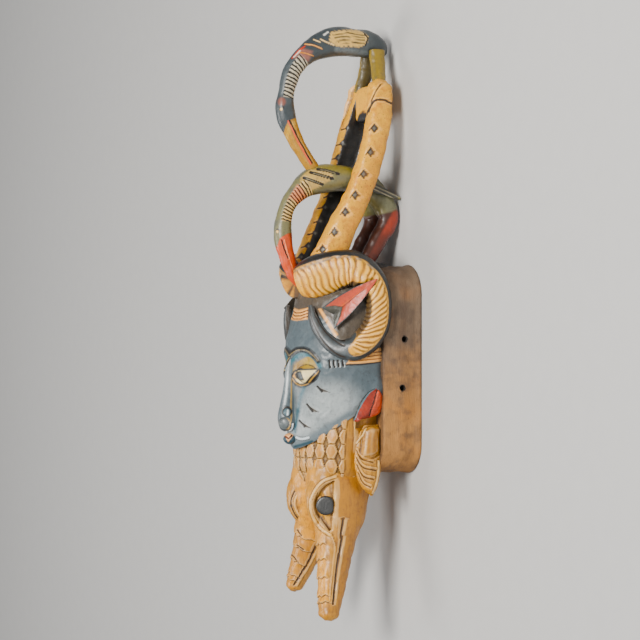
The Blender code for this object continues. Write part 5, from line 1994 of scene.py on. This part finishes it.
class MaskSettings(bpy.types.PropertyGroup):
    """Sizes and colours of the mask's dressing."""

    rib_depth: bpy.props.FloatProperty(
        name="Rib depth",
        description="Depth of the cuts between the curled horns' ribs",
        default=0.8 * UNIT,
        min=0.0,
        unit="LENGTH",
    )
    scale_height: bpy.props.FloatProperty(
        name="Scale height",
        description="How far the neck's scales stand up",
        default=1.5 * UNIT,
        min=0.0,
        unit="LENGTH",
    )
    hole_radius: bpy.props.FloatProperty(
        name="Hole radius",
        description="Radius of the cord holes in the rim",
        default=HOLE_RADIUS * UNIT,
        min=0.001,
        unit="LENGTH",
    )
    face_colour: bpy.props.FloatVectorProperty(
        name="Face colour",
        description="Oil paint of the face and nose",
        default=tuple(SLATE),
        size=3,
        min=0.0,
        max=1.0,
        subtype="COLOR",
    )
    rim_colour: bpy.props.FloatVectorProperty(
        name="Rim colour",
        description="Bare wood of the rim and the hollow",
        default=tuple(RAW),
        size=3,
        min=0.0,
        max=1.0,
        subtype="COLOR",
    )


def settings():
    """The scene's sizes and colours for the mask."""
    return bpy.context.scene.carved_mask


class MaskStep(bpy.types.Operator):
    """Makes one piece of the mask."""

    bl_options = {"REGISTER", "UNDO"}

    def execute(self, context):
        """Makes the piece."""
        type(self).make()
        return {"FINISHED"}


class MASK_OT_stage(MaskStep):
    """Adds the floor, the lights and the camera"""

    bl_idname = "mask.stage"
    bl_label = "Studio Stage"
    make = staticmethod(make_stage)


class MASK_OT_face(MaskStep):
    """Adds the painted face with its brows, eyes and cuts"""

    bl_idname = "mask.face"
    bl_label = "Painted Face"
    make = staticmethod(make_face)


class MASK_OT_nose(MaskStep):
    """Adds the nose and the mouth"""

    bl_idname = "mask.nose"
    bl_label = "Nose and Mouth"
    make = staticmethod(make_nose)


class MASK_OT_ram_horns(MaskStep):
    """Adds the two curled, ribbed horns"""

    bl_idname = "mask.ram_horns"
    bl_label = "Curled Horns"
    make = staticmethod(make_ram_horns)


class MASK_OT_ears(MaskStep):
    """Adds the two folded ears in the curl of the horns"""

    bl_idname = "mask.ears"
    bl_label = "Ears"
    make = staticmethod(make_ears)


class MASK_OT_cheek_leaves(MaskStep):
    """Adds the red leaves at the back of the cheeks"""

    bl_idname = "mask.cheek_leaves"
    bl_label = "Cheek Leaves"
    make = staticmethod(make_cheek_leaves)


class MASK_OT_antelope_horns(MaskStep):
    """Adds the two upright horns and the block between their tips"""

    bl_idname = "mask.antelope_horns"
    bl_label = "Upright Horns"
    make = staticmethod(make_antelope_horns)


class MASK_OT_upper_bird(MaskStep):
    """Adds the upper long-beaked bird"""

    bl_idname = "mask.upper_bird"
    bl_label = "Upper Bird"
    make = staticmethod(make_upper_bird)


class MASK_OT_lower_bird(MaskStep):
    """Adds the lower long-beaked bird with its wings and legs"""

    bl_idname = "mask.lower_bird"
    bl_label = "Lower Bird"
    make = staticmethod(make_lower_bird)


class MASK_OT_neck(MaskStep):
    """Adds the scaled neck"""

    bl_idname = "mask.neck"
    bl_label = "Scaled Neck"
    make = staticmethod(make_neck)


class MASK_OT_neck_lobes(MaskStep):
    """Adds the folded lobes behind the neck"""

    bl_idname = "mask.neck_lobes"
    bl_label = "Neck Lobes"
    make = staticmethod(make_neck_ears)


class MASK_OT_heads(MaskStep):
    """Adds the two long-snouted heads"""

    bl_idname = "mask.heads"
    bl_label = "Long-Snouted Heads"
    make = staticmethod(make_heads)


class MASK_OT_rim(MaskStep):
    """Adds the raw wooden rim, its hollow and its cord holes"""

    bl_idname = "mask.rim"
    bl_label = "Raw Rim"
    make = staticmethod(make_rim)


STEPS = (
    MASK_OT_stage, MASK_OT_face, MASK_OT_nose, MASK_OT_ram_horns, MASK_OT_ears, MASK_OT_cheek_leaves,
    MASK_OT_antelope_horns, MASK_OT_upper_bird, MASK_OT_lower_bird, MASK_OT_neck, MASK_OT_neck_lobes,
    MASK_OT_heads, MASK_OT_rim,
)


class VIEW3D_PT_carved_mask(bpy.types.Panel):
    """Lists the mask's pieces and their settings."""

    bl_label = "Carved Mask"
    bl_space_type = "VIEW_3D"
    bl_region_type = "UI"
    bl_category = "Mask"

    def draw(self, context):
        """The settings first, then a button for each step."""
        for name in MaskSettings.__annotations__:
            self.layout.prop(context.scene.carved_mask, name)
        for step in STEPS:
            self.layout.operator(step.bl_idname)


def register():
    """Adds the settings, the steps and the panel."""
    for kind in (MaskSettings, *STEPS, VIEW3D_PT_carved_mask):
        bpy.utils.register_class(kind)
    bpy.types.Scene.carved_mask = bpy.props.PointerProperty(type=MaskSettings)


def unregister():
    """Takes them out again, in the opposite order."""
    del bpy.types.Scene.carved_mask
    for kind in (VIEW3D_PT_carved_mask, *reversed(STEPS), MaskSettings):
        bpy.utils.unregister_class(kind)


def main():
    """Builds the whole mask step by step."""
    register()
    for step in STEPS:
        getattr(bpy.ops.mask, step.bl_idname.split(".")[1])()


if __name__ == "__main__":
    main()
